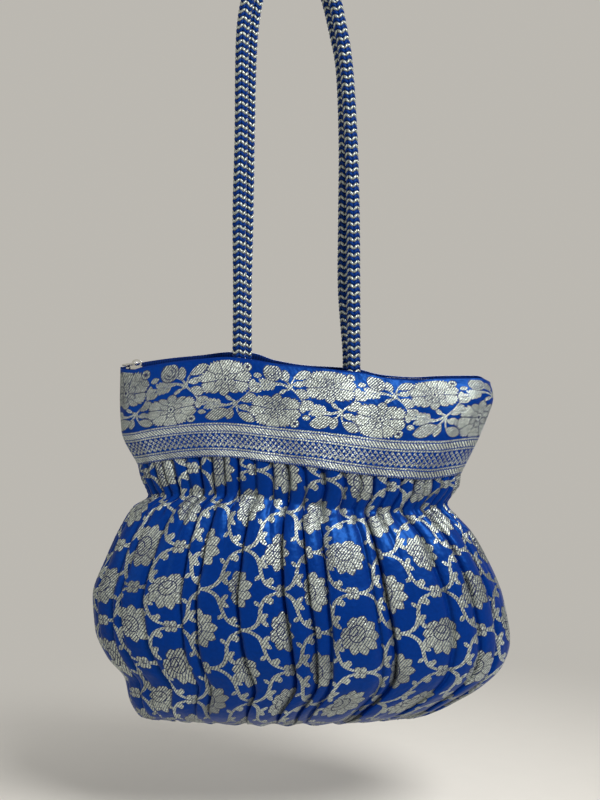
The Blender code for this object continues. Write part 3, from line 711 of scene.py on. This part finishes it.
def weave(flat, shapes):
    """Flat cloth as triangles whose edges follow the shapes, and the thread that each one shows."""
    size = np.array(flat)
    columns, rows = (round(length / CLOTH_STEP) for length in flat)
    points, edges = [], []
    for row in range(rows + 1):
        stagger = 0.5 if row % 2 else 0.0
        for column in [0.0, *np.arange(1, columns) - stagger, columns]:
            points.append((column * flat[0] / columns, row * flat[1] / rows))
    shapes = [s for s in shapes if (s[1].max(axis=0) > 0).all() and (s[1].min(axis=0) < size).all()]
    for _, shape in shapes:
        ring = np.clip(resampled(shape, SHAPE_STEP), 0.0, size)
        first = len(points)
        points += [tuple(p) for p in ring]
        edges += [(first + k, first + (k + 1) % len(ring)) for k in range(len(ring))]
    result = delaunay_2d_cdt([Vector(p) for p in points], edges, [], 0, 1e-3, False)
    flat_points = np.array([tuple(p) for p in result[0]])
    triangles = np.array(result[2])
    centres = flat_points[triangles].mean(axis=1)
    shown = np.full(len(triangles), GROUND)
    order = np.argsort(centres[:, 0])
    sorted_x = centres[order, 0]
    for kind, shape in shapes:
        low, high = shape.min(axis=0), shape.max(axis=0)
        near = order[np.searchsorted(sorted_x, low[0]) : np.searchsorted(sorted_x, high[0])]
        near = near[(centres[near, 1] > low[1]) & (centres[near, 1] < high[1])]
        shown[near[inside(centres[near], shape)]] = kind
    return flat_points, triangles.tolist(), shown.tolist()


def new_mesh(name, points, faces, materials, kinds=None, flat=None):
    """A mesh object with its points in metres, a material for each face and a flat UV map."""
    mesh = bpy.data.meshes.new(name)
    mesh.from_pydata([tuple(p) for p in points], [], faces)
    for mat in materials:
        mesh.materials.append(mat)
    if kinds is not None:
        mesh.polygons.foreach_set("material_index", kinds)
    mesh.polygons.foreach_set("use_smooth", [True] * len(mesh.polygons))
    if flat is not None:
        layer = mesh.uv_layers.new(name="cloth")
        corner = np.zeros(len(mesh.loops), dtype=np.int32)
        mesh.loops.foreach_get("vertex_index", corner)
        layer.data.foreach_set("uv", (flat[corner] * MM).ravel())
    mesh.update()
    obj = bpy.data.objects.new(name, mesh)
    bpy.context.scene.collection.objects.link(obj)
    return obj


def apply_modifier(obj, made):
    """Applies one modifier to its object."""
    bpy.ops.object.select_all(action="DESELECT")
    obj.select_set(True)
    bpy.context.view_layer.objects.active = obj
    bpy.ops.object.modifier_apply(modifier=made.name)


def cloth_panel(name, flat, cloth, place, side, materials, wall=0.0):
    """Woven cloth laid on the bag, facing out, with its thickness on the inner side. The back panel
    runs the other way, as one cloth would that goes round the bag."""
    points, triangles, kinds = cloth
    ordered = points if side < 0 else np.array([flat[0], 0.0]) + points * np.array([-1.0, 1.0])
    laid = flat_to_bag(ordered, flat, place, side) * MM
    obj = new_mesh(name, laid, [t[::-1] for t in triangles], materials, kinds, points)
    if wall:
        shell = obj.modifiers.new("wall", "SOLIDIFY")
        shell.thickness = wall * MM
        shell.offset = -1.0
        shell.material_offset = INNER_SIDE
        apply_modifier(obj, shell)
    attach(obj, BAG)
    return obj


def node_group(name, inputs, outputs):
    """A shader node group with the given float, colour or vector sockets, and its in and out nodes."""
    group = bpy.data.node_groups.new(name, "ShaderNodeTree")
    for label, kind, default in inputs:
        socket = group.interface.new_socket(name=label, in_out="INPUT", socket_type=kind)
        if default is not None:
            socket.default_value = default
    for label, kind in outputs:
        group.interface.new_socket(name=label, in_out="OUTPUT", socket_type=kind)
    return group, group.nodes.new("NodeGroupInput"), group.nodes.new("NodeGroupOutput")


def feed(tree, socket, value):
    """Links a socket to another one, or sets its plain value."""
    if isinstance(value, bpy.types.NodeSocket):
        tree.links.new(value, socket)
    else:
        socket.default_value = value


def maths(tree, operation, *values):
    """A Math node fed with sockets or plain numbers. Returns its output."""
    node = tree.nodes.new("ShaderNodeMath")
    node.operation = operation
    for socket, value in zip(node.inputs, values):
        feed(tree, socket, value)
    return node.outputs[0]


def stripes_group():
    """Slanting stripes on the flat cloth: 1 on the thread that shows, 0 in the gaps between."""
    old = bpy.data.node_groups.get("slanting stripes")
    if old:
        return old
    group, given, out = node_group(
        "slanting stripes",
        (
            ("Vector", "NodeSocketVector", None),
            ("Period", "NodeSocketFloat", 0.002),
            ("Lean", "NodeSocketFloat", 1.0),
            ("Share", "NodeSocketFloat", 0.6),
        ),
        (("Mask", "NodeSocketFloat"),),
    )
    axes = group.nodes.new("ShaderNodeSeparateXYZ")
    group.links.new(given.outputs["Vector"], axes.inputs[0])
    leaning = maths(group, "MULTIPLY", axes.outputs[1], given.outputs["Lean"])
    along = maths(group, "ADD", axes.outputs[0], leaning)
    turns = maths(group, "DIVIDE", along, given.outputs["Period"])
    saw = maths(group, "FRACT", turns)
    hill = maths(group, "ABSOLUTE", maths(group, "SUBTRACT", saw, 0.5))
    edge = maths(group, "SUBTRACT", maths(group, "MULTIPLY", given.outputs["Share"], 0.5), hill)
    soft = maths(group, "MULTIPLY_ADD", edge, STRIPE_SHARPNESS, 0.5)
    clamp = group.nodes.new("ShaderNodeClamp")
    group.links.new(soft, clamp.inputs[0])
    group.links.new(clamp.outputs[0], out.inputs["Mask"])
    return group


def thread_group():
    """Uneven thread: a tone about 1 that changes from stitch to stitch, and its relief. In the silver it
    also carries painted glints and, set broad, painted shimmer.
    """
    old = bpy.data.node_groups.get("uneven thread")
    if old:
        return old
    group, given, out = node_group(
        "uneven thread",
        (
            ("Vector", "NodeSocketVector", None),
            ("Scale", "NodeSocketFloat", 900.0),
            ("Amount", "NodeSocketFloat", 0.4),
        ),
        (("Tone", "NodeSocketFloat"), ("Relief", "NodeSocketFloat")),
    )
    noise = group.nodes.new("ShaderNodeTexNoise")
    noise.inputs["Detail"].default_value = 2.0
    group.links.new(given.outputs["Vector"], noise.inputs["Vector"])
    group.links.new(given.outputs["Scale"], noise.inputs["Scale"])
    centred = maths(group, "SUBTRACT", noise.outputs[0], 0.5)
    tone = maths(group, "MULTIPLY_ADD", centred, given.outputs["Amount"], 1.0)
    group.links.new(tone, out.inputs["Tone"])
    group.links.new(noise.outputs[0], out.inputs["Relief"])
    return group


def new_material(name, roughness, metallic=0.0):
    """A material with its Principled shader. One of the same name is made anew, and shared."""
    made = bpy.data.materials.get(name) or bpy.data.materials.new(name)
    made.use_nodes = True
    tree = made.node_tree
    tree.nodes.clear()
    shader = tree.nodes.new("ShaderNodeBsdfPrincipled")
    out = tree.nodes.new("ShaderNodeOutputMaterial")
    tree.links.new(shader.outputs[0], out.inputs["Surface"])
    shader.inputs["Roughness"].default_value = roughness
    shader.inputs["Metallic"].default_value = metallic
    return made, tree, shader


def placed_group(tree, group, vector, **values):
    """A node group set into a material, with its own values."""
    node = tree.nodes.new("ShaderNodeGroup")
    node.node_tree = group
    tree.links.new(vector, node.inputs["Vector"])
    for label, value in values.items():
        node.inputs[label].default_value = value
    return node


def cloth_vector(tree):
    """Places on the flat cloth, in metres, so that a weave follows its folds."""
    node = tree.nodes.new("ShaderNodeUVMap")
    node.uv_map = "cloth"
    return node.outputs["UV"]


def object_vector(tree):
    return tree.nodes.new("ShaderNodeTexCoord").outputs["Object"]


def mixed(tree, factor, first, second, blend="MIX"):
    """A colour mixed from two. The factor and the colours are sockets or plain values."""
    node = tree.nodes.new("ShaderNodeMix")
    node.data_type = "RGBA"
    node.blend_type = blend
    pair = [s for s in node.inputs if s.type == "RGBA"]
    for socket, value in zip((node.inputs["Factor"], *pair), (factor, first, second)):
        feed(tree, socket, value)
    return [s for s in node.outputs if s.type == "RGBA"][0]


def toned(tree, colour, tone):
    """A colour multiplied by a tone."""
    return mixed(tree, 1.0, colour, tone, "MULTIPLY")


def raised(tree, shader, height, distance):
    """Relief in a finish, of the given height in metres."""
    bump = tree.nodes.new("ShaderNodeBump")
    bump.inputs["Distance"].default_value = distance
    bump.inputs["Strength"].default_value = 1.0
    tree.links.new(height, bump.inputs["Height"])
    tree.links.new(bump.outputs[0], shader.inputs["Normal"])


def shade(colour, factor):
    """A colour made lighter or darker."""
    return (colour[0] * factor, colour[1] * factor, colour[2] * factor, 1.0)


def thread_colour(tree, shader, vector, colour, scale, amount):
    """Gives a finish its colour, uneven from place to place. Returns the group's node."""
    thread = placed_group(tree, thread_group(), vector, Scale=scale, Amount=amount)
    tree.links.new(toned(tree, colour, thread.outputs["Tone"]), shader.inputs["Base Color"])
    return thread


def satin_material():
    """The blue satin ground, softly crushed."""
    made, tree, shader = new_material("blue satin", 0.38)
    shader.inputs["Specular IOR Level"].default_value = 0.65
    shader.inputs["Specular Tint"].default_value = SATIN_GLOSS
    vector = cloth_vector(tree)
    thread_colour(tree, shader, vector, panel_colour("satin"), 420.0, 0.5)
    crush = placed_group(tree, thread_group(), vector, Scale=90.0, Amount=1.0)
    raised(tree, shader, crush.outputs["Relief"], 0.0012)
    return made


def zari_material(name, colour, gap_colour, period, lean, share):
    """Silver thread laid in slanting floats, with the dark ground between them. Its colour holds painted
    glints and painted shimmer of light.
    """
    made, tree, shader = new_material(name, 0.43, 0.8)
    vector = cloth_vector(tree)
    stripes = placed_group(tree, stripes_group(), vector, Period=period, Lean=lean, Share=share)
    # Fine speckle: uneven thread with painted glints of the metal. Broad patches: painted shimmer, the
    # silver lighter and darker where light on metal would make it so.
    thread = placed_group(tree, thread_group(), vector, Scale=620.0, Amount=2.6)
    painted_shimmer = placed_group(tree, thread_group(), vector, Scale=16.0, Amount=2.0)
    silver = toned(tree, toned(tree, colour, thread.outputs["Tone"]), painted_shimmer.outputs["Tone"])
    mask = stripes.outputs["Mask"]
    tree.links.new(mixed(tree, mask, gap_colour, silver), shader.inputs["Base Color"])
    height = maths(tree, "MULTIPLY_ADD", mask, 0.8, thread.outputs["Relief"])
    raised(tree, shader, height, 0.0008)
    return made


def navy_material(name, roughness, scale):
    """Twill-woven navy cloth: fine slanting ribs and uneven thread."""
    made, tree, shader = new_material(name, roughness)
    shader.inputs["Specular Tint"].default_value = NAVY_GLOSS
    vector = object_vector(tree)
    thread = placed_group(tree, thread_group(), vector, Scale=scale, Amount=0.8)
    ribs = placed_group(tree, stripes_group(), vector, Period=TWILL_PERIOD, Lean=1.0, Share=0.6)
    mask = ribs.outputs["Mask"]
    navy = toned(tree, panel_colour("navy"), thread.outputs["Tone"])
    base = mixed(tree, mask, shade(panel_colour("navy"), 0.45), navy)
    tree.links.new(base, shader.inputs["Base Color"])
    height = maths(tree, "MULTIPLY_ADD", mask, 0.7, thread.outputs["Relief"])
    raised(tree, shader, height, 0.0004)
    return made


def outline_material():
    """The thin dark lines round the figures."""
    made, tree, shader = new_material("dark outline", 0.55)
    thread_colour(tree, shader, cloth_vector(tree), shade(panel_colour("satin"), 0.32), 800.0, 0.8)
    return made


def brocade_materials():
    """The five threads of the brocade, in the order of the kinds of face, then the cloth's back. The
    periods of their floats are in metres."""
    satin, shaded = shade(panel_colour("satin"), 1.0), shade(panel_colour("satin"), 0.6)
    silver, bright = shade(panel_colour("zari"), 1.1), shade(panel_colour("zari"), 1.35)
    threads = [
        satin_material(),
        zari_material("silver figure", silver, satin, 0.0024, 0.7, 0.80),
        zari_material("hatched silver figure", silver, shaded, 0.0026, 0.9, 0.70),
        zari_material("twill band", bright, satin, 0.0029, -0.9, 0.68),
        outline_material(),
    ]
    return threads + [navy_material("cloth back", 0.8, 900.0)] * len(threads)


def dress(node, mat):
    """Gives a CAD node its finish."""
    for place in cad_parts[node].material_slots:
        place.material = mat


class HANDBAG_OT_pouch(bpy.types.Operator):
    """Makes the gathered pouch, front and back"""

    bl_idname = "handbag.pouch"
    bl_label = "Gathered pouch"

    def execute(self, context):
        cloth = weave(POUCH_FLAT, pouch_shapes())
        threads = brocade_materials()
        for name, side in (("front", -1), ("back", 1)):
            panel = cloth_panel(f"pouch_{name}", POUCH_FLAT, cloth, pouch_place, side, threads)
            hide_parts(f"body_{name}")
        return {"FINISHED"}


class HANDBAG_OT_yoke(bpy.types.Operator):
    """Makes the border cloth of the yoke, front and back"""

    bl_idname = "handbag.yoke"
    bl_label = "Border yoke"

    def execute(self, context):
        cloth = weave(YOKE_FLAT, yoke_shapes())
        threads = brocade_materials()
        for name, side in (("front", -1), ("back", 1)):
            panel = cloth_panel(
                f"border_{name}", YOKE_FLAT, cloth, yoke_place, side, threads, YOKE_WALL
            )
            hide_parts(f"yoke_{name}")
        return {"FINISHED"}


def zip_level(x):
    """The height of the zip's line at a place across the bag."""
    share = (x - ZIP_LEFT[0]) / (ZIP_RIGHT[0] - ZIP_LEFT[0])
    return ZIP_LEFT[1] + (ZIP_RIGHT[1] - ZIP_LEFT[1]) * share


def cord_line(route, side):
    """Closely spaced points of a handle's centreline, in mm."""
    ends = []
    for x, _ in (route[0], route[-1]):
        foot = zip_level(x) - CORD_TUCK
        ends.append([(x, side * CORD_FOOT_DEPTH, foot), (x, side * CORD_FOOT_DEPTH, foot + CORD_TUCK)])
    middle = []
    for x, z in route:
        share = min(1.0, max(0.0, z / route[0][1]))
        middle.append((x, side * (CORD_APART + (CORD_FOOT_DEPTH - CORD_APART) * share**2), z))
    rough = np.array(ends[0] + middle + ends[1][::-1])
    at = np.linspace(0, len(rough) - 1, 12 * (len(rough) - 1) + 1)
    knots = np.arange(len(rough))
    dense = np.stack([smooth_through(knots, rough[:, k], at) for k in range(3)], axis=1)
    along = np.concatenate([[0], np.cumsum(np.linalg.norm(np.diff(dense, axis=0), axis=1))])
    even = np.linspace(0, along[-1], CORD_POINTS)
    return np.stack([np.interp(even, along, dense[:, k]) for k in range(3)], axis=1), along[-1]


def cord_frames(line):
    """The way ahead and two steady directions across it, for every point of a line."""
    ahead = np.gradient(line, axis=0)
    ahead /= np.linalg.norm(ahead, axis=1)[:, None]
    first = np.zeros_like(line)
    across = np.array([0.0, -1.0, 0.0])
    for i, way in enumerate(ahead):
        across = across - way * across.dot(way)
        across /= np.linalg.norm(across)
        first[i] = across
    return ahead, first, np.cross(ahead, first)


def ball_shape(segments, rings):
    """The points and faces of a unit ball, to be shaped into a visible float or a stitch. Blender starts
    its faces at any corner, so here each starts at its lowest point, and every run gives the same."""
    bpy.ops.mesh.primitive_uv_sphere_add(segments=segments, ring_count=rings, radius=1.0)
    ball = bpy.context.object.data
    points = np.array([tuple(v.co) for v in ball.vertices])
    rings_round = [list(face.vertices) for face in ball.polygons]
    starts = [corners.index(min(corners)) for corners in rings_round]
    faces = sorted(tuple(c[start:] + c[:start]) for c, start in zip(rings_round, starts))
    bpy.data.objects.remove(bpy.context.object)
    bpy.data.meshes.remove(ball)
    return points, faces


def core_tube(line, first, second, radius):
    """The points and faces of the closed tube that a braid lies round."""
    picks = list(range(0, len(line), CORE_STEP))
    if picks[-1] != len(line) - 1:
        picks.append(len(line) - 1)
    points, faces = [], []
    for pick in picks:
        for k in range(CORE_SIDES):
            angle = 2 * math.pi * k / CORE_SIDES
            away = first[pick] * math.cos(angle) + second[pick] * math.sin(angle)
            points.append(line[pick] + away * radius)
    for ring in range(len(picks) - 1):
        for k in range(CORE_SIDES):
            a, b = ring * CORE_SIDES + k, ring * CORE_SIDES + (k + 1) % CORE_SIDES
            faces.append((a, b, b + CORE_SIDES, a + CORE_SIDES))
    faces.append(tuple(range(CORE_SIDES))[::-1])
    faces.append(tuple(range(len(points) - CORE_SIDES, len(points))))
    return points, faces


def braid(name, line, length, diameter, materials):
    """A braided cord: a core tube and, around it, columns of slanting floats in two colours."""
    ahead, first, second = cord_frames(line)
    place_at = np.linspace(0, length, len(line))
    points, faces = core_tube(line, first, second, diameter / 2 - CORE_SUNK)
    kinds = [0] * len(faces)
    ball, ball_faces = ball_shape(8, 5)
    reach = math.pi * diameter / BRAID_COLUMNS * FLOAT_REACH
    for repeat in range(int(length / BRAID_REPEAT)):
        for column in range(BRAID_COLUMNS):
            angle = 2 * math.pi * (column + 0.5) / BRAID_COLUMNS
            lean = math.radians(BRAID_LEAN if column % 2 else -BRAID_LEAN)
            for kind, half in enumerate(FLOAT_WIDTHS):
                at = (repeat + 0.5 + 0.5 * kind) * BRAID_REPEAT
                if at > length - CORD_END_ROOM:
                    continue
                spot = np.array([np.interp(at, place_at, line[:, k]) for k in range(3)])
                near = min(len(line) - 1, round(at / length * (len(line) - 1)))
                away = first[near] * math.cos(angle) + second[near] * math.sin(angle)
                around = np.cross(ahead[near], away)
                long_way = around * math.cos(lean) + ahead[near] * math.sin(lean)
                wide_way = np.cross(away, long_way)
                wrapped = (ball[:, :1] * reach * math.cos(lean)) ** 2 / diameter
                base = len(points)
                points += list(
                    spot
                    + away * (diameter / 2 - FLOAT_SUNK)
                    + ball[:, :1] * long_way * reach
                    + ball[:, 1:2] * wide_way * half
                    + (ball[:, 2:3] * FLOAT_HEIGHT - wrapped) * away
                )
                faces += [tuple(v + base for v in face) for face in ball_faces]
                kinds += [kind] * len(ball_faces)
    return new_mesh(name, np.array(points) * MM, faces, materials, kinds)


def braid_material(name, colour, roughness, metallic, gloss):
    """Glossy braiding or sewing thread."""
    made, tree, shader = new_material(name, roughness, metallic)
    shader.inputs["Specular Tint"].default_value = gloss
    thread = thread_colour(tree, shader, object_vector(tree), colour, 1500.0, 0.9)
    raised(tree, shader, thread.outputs["Relief"], 0.0003)
    return made


class HANDBAG_OT_handles(bpy.types.Operator):
    """Braids the two handles"""

    bl_idname = "handbag.handles"
    bl_label = "Braided handles"

    def execute(self, context):
        blue = braid_material("blue braid", shade(panel_colour("satin"), 0.75), 0.5, 0.0, BRAID_GLOSS)
        silver = braid_material("silver braid", panel_colour("zari"), 0.34, 0.75, PLAIN_GLOSS)
        for name, route, side in (("front", FRONT_ROUTE, -1), ("back", BACK_ROUTE, 1)):
            line, length = cord_line(route, side)
            cord = braid(f"braided_{name}", line, length, sizes().cord_diameter, [blue, silver])
            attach(cord, BAG)
            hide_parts(f"handle_{name}")
        return {"FINISHED"}


def coil_row(name, side, mat):
    """One row of the zip's coil: a flattened loop, shaped at its left end, and an array of it."""
    start = Vector((ZIP_LEFT[0], 0.0, ZIP_LEFT[1])) * MM
    along = Vector((ZIP_RIGHT[0], 0.0, ZIP_RIGHT[1])) * MM - start
    first = STOP_LENGTH + (0.5 + 0.25 * side) * COIL_PITCH
    bpy.ops.object.select_all(action="DESELECT")
    bpy.ops.mesh.primitive_uv_sphere_add(segments=8, ring_count=4, radius=MM, calc_uvs=False)
    obj = bpy.context.object
    obj.name = obj.data.name = name
    bpy.ops.object.mode_set(mode="EDIT")
    bpy.ops.mesh.select_all(action="SELECT")
    bpy.ops.transform.resize(value=(COIL_THICKNESS / 2, COIL_WIDTH / 2, COIL_HEIGHT / 2))
    place = Vector((first, side * (ZIP_SLOT + COIL_WIDTH / 2), COIL_HEIGHT / 2)) * MM
    bpy.ops.transform.translate(value=place)
    tilt = math.atan2(along.z, along.x)  # the rotate operator turns the other way with no window
    bpy.ops.transform.rotate(value=tilt, orient_axis="Y", center_override=(0.0, 0.0, 0.0))
    bpy.ops.transform.translate(value=start)
    bpy.ops.mesh.faces_shade_smooth()
    bpy.ops.object.mode_set(mode="OBJECT")
    row = obj.modifiers.new("row", "ARRAY")
    row.count = int((along.length / MM - 2 * STOP_LENGTH) / COIL_PITCH)
    row.use_relative_offset = False
    row.use_constant_offset = True
    row.constant_offset_displace = along.normalized() * COIL_PITCH * MM
    apply_modifier(obj, row)
    obj.data.materials.append(mat)
    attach(obj, BAG)
    return obj


def tape_stitches(name, side, mat):
    """The row of stitches that sews a zip tape to the top of the yoke."""
    ball, ball_faces = ball_shape(6, 4)
    points, faces = [], []
    left, right = yoke_left_x(0.0), yoke_right_x(0.0)
    mid, half = (left + right) / 2, (right - left) / 2
    route = FRONT_ROUTE if side < 0 else BACK_ROUTE
    for x in np.arange(-half + STITCH_INSET * 2, half - STITCH_INSET * 2, STITCH_PITCH) + mid:
        if min(abs(x - route[0][0]), abs(x - route[-1][0])) < CORD_ROOM:
            continue
        angle = math.asin((x - mid) / half)
        depth = math.cos(angle) ** SECTION_POWER * yoke_depth(0.0) - STITCH_INSET
        if depth < SLIDER_HALF_WIDTH + SLIDER_ROOM:
            continue
        base = len(points)
        stitch = ball * np.array(STITCH_HALF_SIZE)
        points += list((stitch + np.array([x, side * depth, zip_level(x)])) * MM)
        faces += [tuple(v + base for v in face) for face in ball_faces]
    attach(new_mesh(name, points, faces, [mat]), BAG)


def metal_material():
    """Polished nickel, a little worn."""
    made, tree, shader = new_material("polished nickel", 0.22, 1.0)
    uneven = thread_colour(tree, shader, object_vector(tree), panel_colour("nickel"), 300.0, 0.25)
    wear = maths(tree, "MULTIPLY_ADD", uneven.outputs["Relief"], 0.2, 0.14)
    tree.links.new(wear, shader.inputs["Roughness"])
    return made


class HANDBAG_OT_zip(bpy.types.Operator):
    """Makes the zip's coils and finishes its tapes and metal"""

    bl_idname = "handbag.zip"
    bl_label = "Zip"

    def execute(self, context):
        coil = navy_material("zip coil", 0.35, 300.0)
        tape = navy_material("zip tape", 0.75, 1300.0)
        metal = metal_material()
        thread = braid_material("sewing thread", panel_colour("satin"), 0.5, 0.0, BRAID_GLOSS)
        for name, side in (("front", -1), ("back", 1)):
            row = coil_row(f"coil_loops_{name}", side, coil)
            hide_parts(f"zip_coil_{name}")
            dress(f"zip_tape_{name}", tape)
            tape_stitches(f"tape_stitches_{name}", side, thread)
        for node in ("zip_slider", "zip_pull", "zip_stop_left", "zip_stop_right"):
            dress(node, metal)
        return {"FINISHED"}


class HANDBAG_OT_inner(bpy.types.Operator):
    """Finishes the lining and the waist elastic"""

    bl_idname = "handbag.inner"
    bl_label = "Lining and elastic"

    def execute(self, context):
        dress("lining", navy_material("lining cloth", 0.85, 1100.0))
        made, tree, shader = new_material("knitted elastic", 0.8)
        thread_colour(tree, shader, object_vector(tree), panel_colour("elastic"), 900.0, 0.4)
        dress("waist_elastic", made)
        return {"FINISHED"}


def seen_share(tree):
    """1 for what the camera, mirrors and clear things see, and 0 for light on the object."""
    path = tree.nodes.new("ShaderNodeLightPath")
    seen = maths(tree, "MAXIMUM", path.outputs["Is Camera Ray"], path.outputs["Is Glossy Ray"])
    return maths(tree, "MAXIMUM", seen, path.outputs["Is Transmission Ray"])


def mixed_shaders(tree, share, first, second, output):
    """Leads two shaders, mixed by a share, to an output node."""
    mix = tree.nodes.new("ShaderNodeMixShader")
    for socket, source in zip(mix.inputs, (share, first.outputs[0], second.outputs[0])):
        tree.links.new(source, socket)
    tree.links.new(mix.outputs[0], output.inputs["Surface"])


def backdrop_world(colour):
    """Plain light on the bag, and the backdrop's colour for what the camera and mirrors see."""
    world = bpy.data.worlds.new("backdrop")
    world.use_nodes = True
    tree = world.node_tree
    tree.nodes.clear()
    light, seen = (tree.nodes.new("ShaderNodeBackground") for _ in range(2))
    for shader, tone, strength in ((light, ROOM_LIGHT, ROOM_STRENGTH), (seen, colour, 1.0)):
        shader.inputs["Color"].default_value = tone
        shader.inputs["Strength"].default_value = strength
    mixed_shaders(tree, seen_share(tree), light, seen, tree.nodes.new("ShaderNodeOutputWorld"))
    bpy.context.scene.world = world


def area_lamp(name, place, aim, size, watts):
    """A round soft lamp that shines towards its aim."""
    data = bpy.data.lights.new(name, "AREA")
    data.shape = "DISK"
    data.size = size
    data.energy = watts
    lamp = bpy.data.objects.new(name, data)
    lamp.location = place
    lamp.rotation_euler = (Vector(aim) - Vector(place)).to_track_quat("-Z", "Y").to_euler()
    bpy.context.scene.collection.objects.link(lamp)


def floor_material():
    """Pale paper that takes the bag's shadow and fades into the backdrop away from it."""
    made, tree, shader = new_material("floor paper", 0.9)
    vector = object_vector(tree)
    thread_colour(tree, shader, vector, shade(panel_colour("backdrop"), FLOOR_TONE), 40.0, 0.03)
    far = tree.nodes.new("ShaderNodeVectorMath")
    far.operation = "LENGTH"
    tree.links.new(vector, far.inputs[0])
    fade = tree.nodes.new("ShaderNodeMapRange")
    fade.interpolation_type = "SMOOTHSTEP"
    tree.links.new(far.outputs["Value"], fade.inputs["Value"])
    for label, value in FLOOR_FADE:
        fade.inputs[label].default_value = value
    share = maths(tree, "MULTIPLY", fade.outputs["Result"], seen_share(tree))
    glow = tree.nodes.new("ShaderNodeEmission")
    glow.inputs["Color"].default_value = panel_colour("backdrop")
    mixed_shaders(tree, share, shader, glow, tree.nodes["Material Output"])
    return made


class HANDBAG_OT_stage(bpy.types.Operator):
    """Sets the camera, the lamps, the backdrop and the floor"""

    bl_idname = "handbag.stage"
    bl_label = "Stage"

    def execute(self, context):
        scene = context.scene
        scene.view_settings.view_transform = "Standard"
        backdrop_world(panel_colour("backdrop"))
        data = bpy.data.cameras.new("view")
        data.sensor_fit = "VERTICAL"
        data.sensor_height = 24.0
        data.lens = data.sensor_height * VIEW_DISTANCE / VIEW_HEIGHT
        camera = bpy.data.objects.new("view", data)
        x, z = VIEW_CENTRE
        camera.location = (x * MM, -VIEW_DISTANCE * MM, z * MM)
        camera.rotation_euler = (math.pi / 2, 0.0, 0.0)
        scene.collection.objects.link(camera)
        scene.camera = camera
        for name, place, size, watts in LAMPS:
            area_lamp(name, place, (x * MM, 0.0, LAMP_AIM), size, watts)
        bpy.ops.mesh.primitive_plane_add(size=6.0, location=(0, 0, FLOOR_LEVEL * MM))
        floor = context.object
        floor.name = "floor"
        floor.data.materials.append(floor_material())
        return {"FINISHED"}


class HANDBAG_PT_panel(bpy.types.Panel):
    """Lists the bag's pieces, sizes and colours"""

    bl_idname = "HANDBAG_PT_panel"
    bl_label = "Handbag"
    bl_space_type = "VIEW_3D"
    bl_region_type = "UI"
    bl_category = "Handbag"

    def draw(self, context):
        for group in (context.scene.handbag_sizes, context.scene.handbag_colours):
            box = self.layout.box()
            for name in group.bl_rna.properties.keys():
                if name not in ("rna_type", "name"):
                    box.prop(group, name)
        for operator in PIECES:
            self.layout.operator(operator.bl_idname)


PIECES = (
    HANDBAG_OT_stage,
    HANDBAG_OT_handles,
    HANDBAG_OT_yoke,
    HANDBAG_OT_pouch,
    HANDBAG_OT_zip,
    HANDBAG_OT_inner,
)
CLASSES = (HandbagSizes, HandbagColours, *PIECES, HANDBAG_PT_panel)


def register():
    for item in CLASSES:
        bpy.utils.register_class(item)
    bpy.types.Scene.handbag_sizes = PointerProperty(type=HandbagSizes)
    bpy.types.Scene.handbag_colours = PointerProperty(type=HandbagColours)


def unregister():
    del bpy.types.Scene.handbag_sizes
    del bpy.types.Scene.handbag_colours
    for item in reversed(CLASSES):
        bpy.utils.unregister_class(item)


def main():
    register()
    bpy.ops.handbag.stage()
    bpy.ops.handbag.handles()
    bpy.ops.handbag.yoke()
    bpy.ops.handbag.pouch()
    bpy.ops.handbag.zip()
    bpy.ops.handbag.inner()


if __name__ == "__main__":
    main()
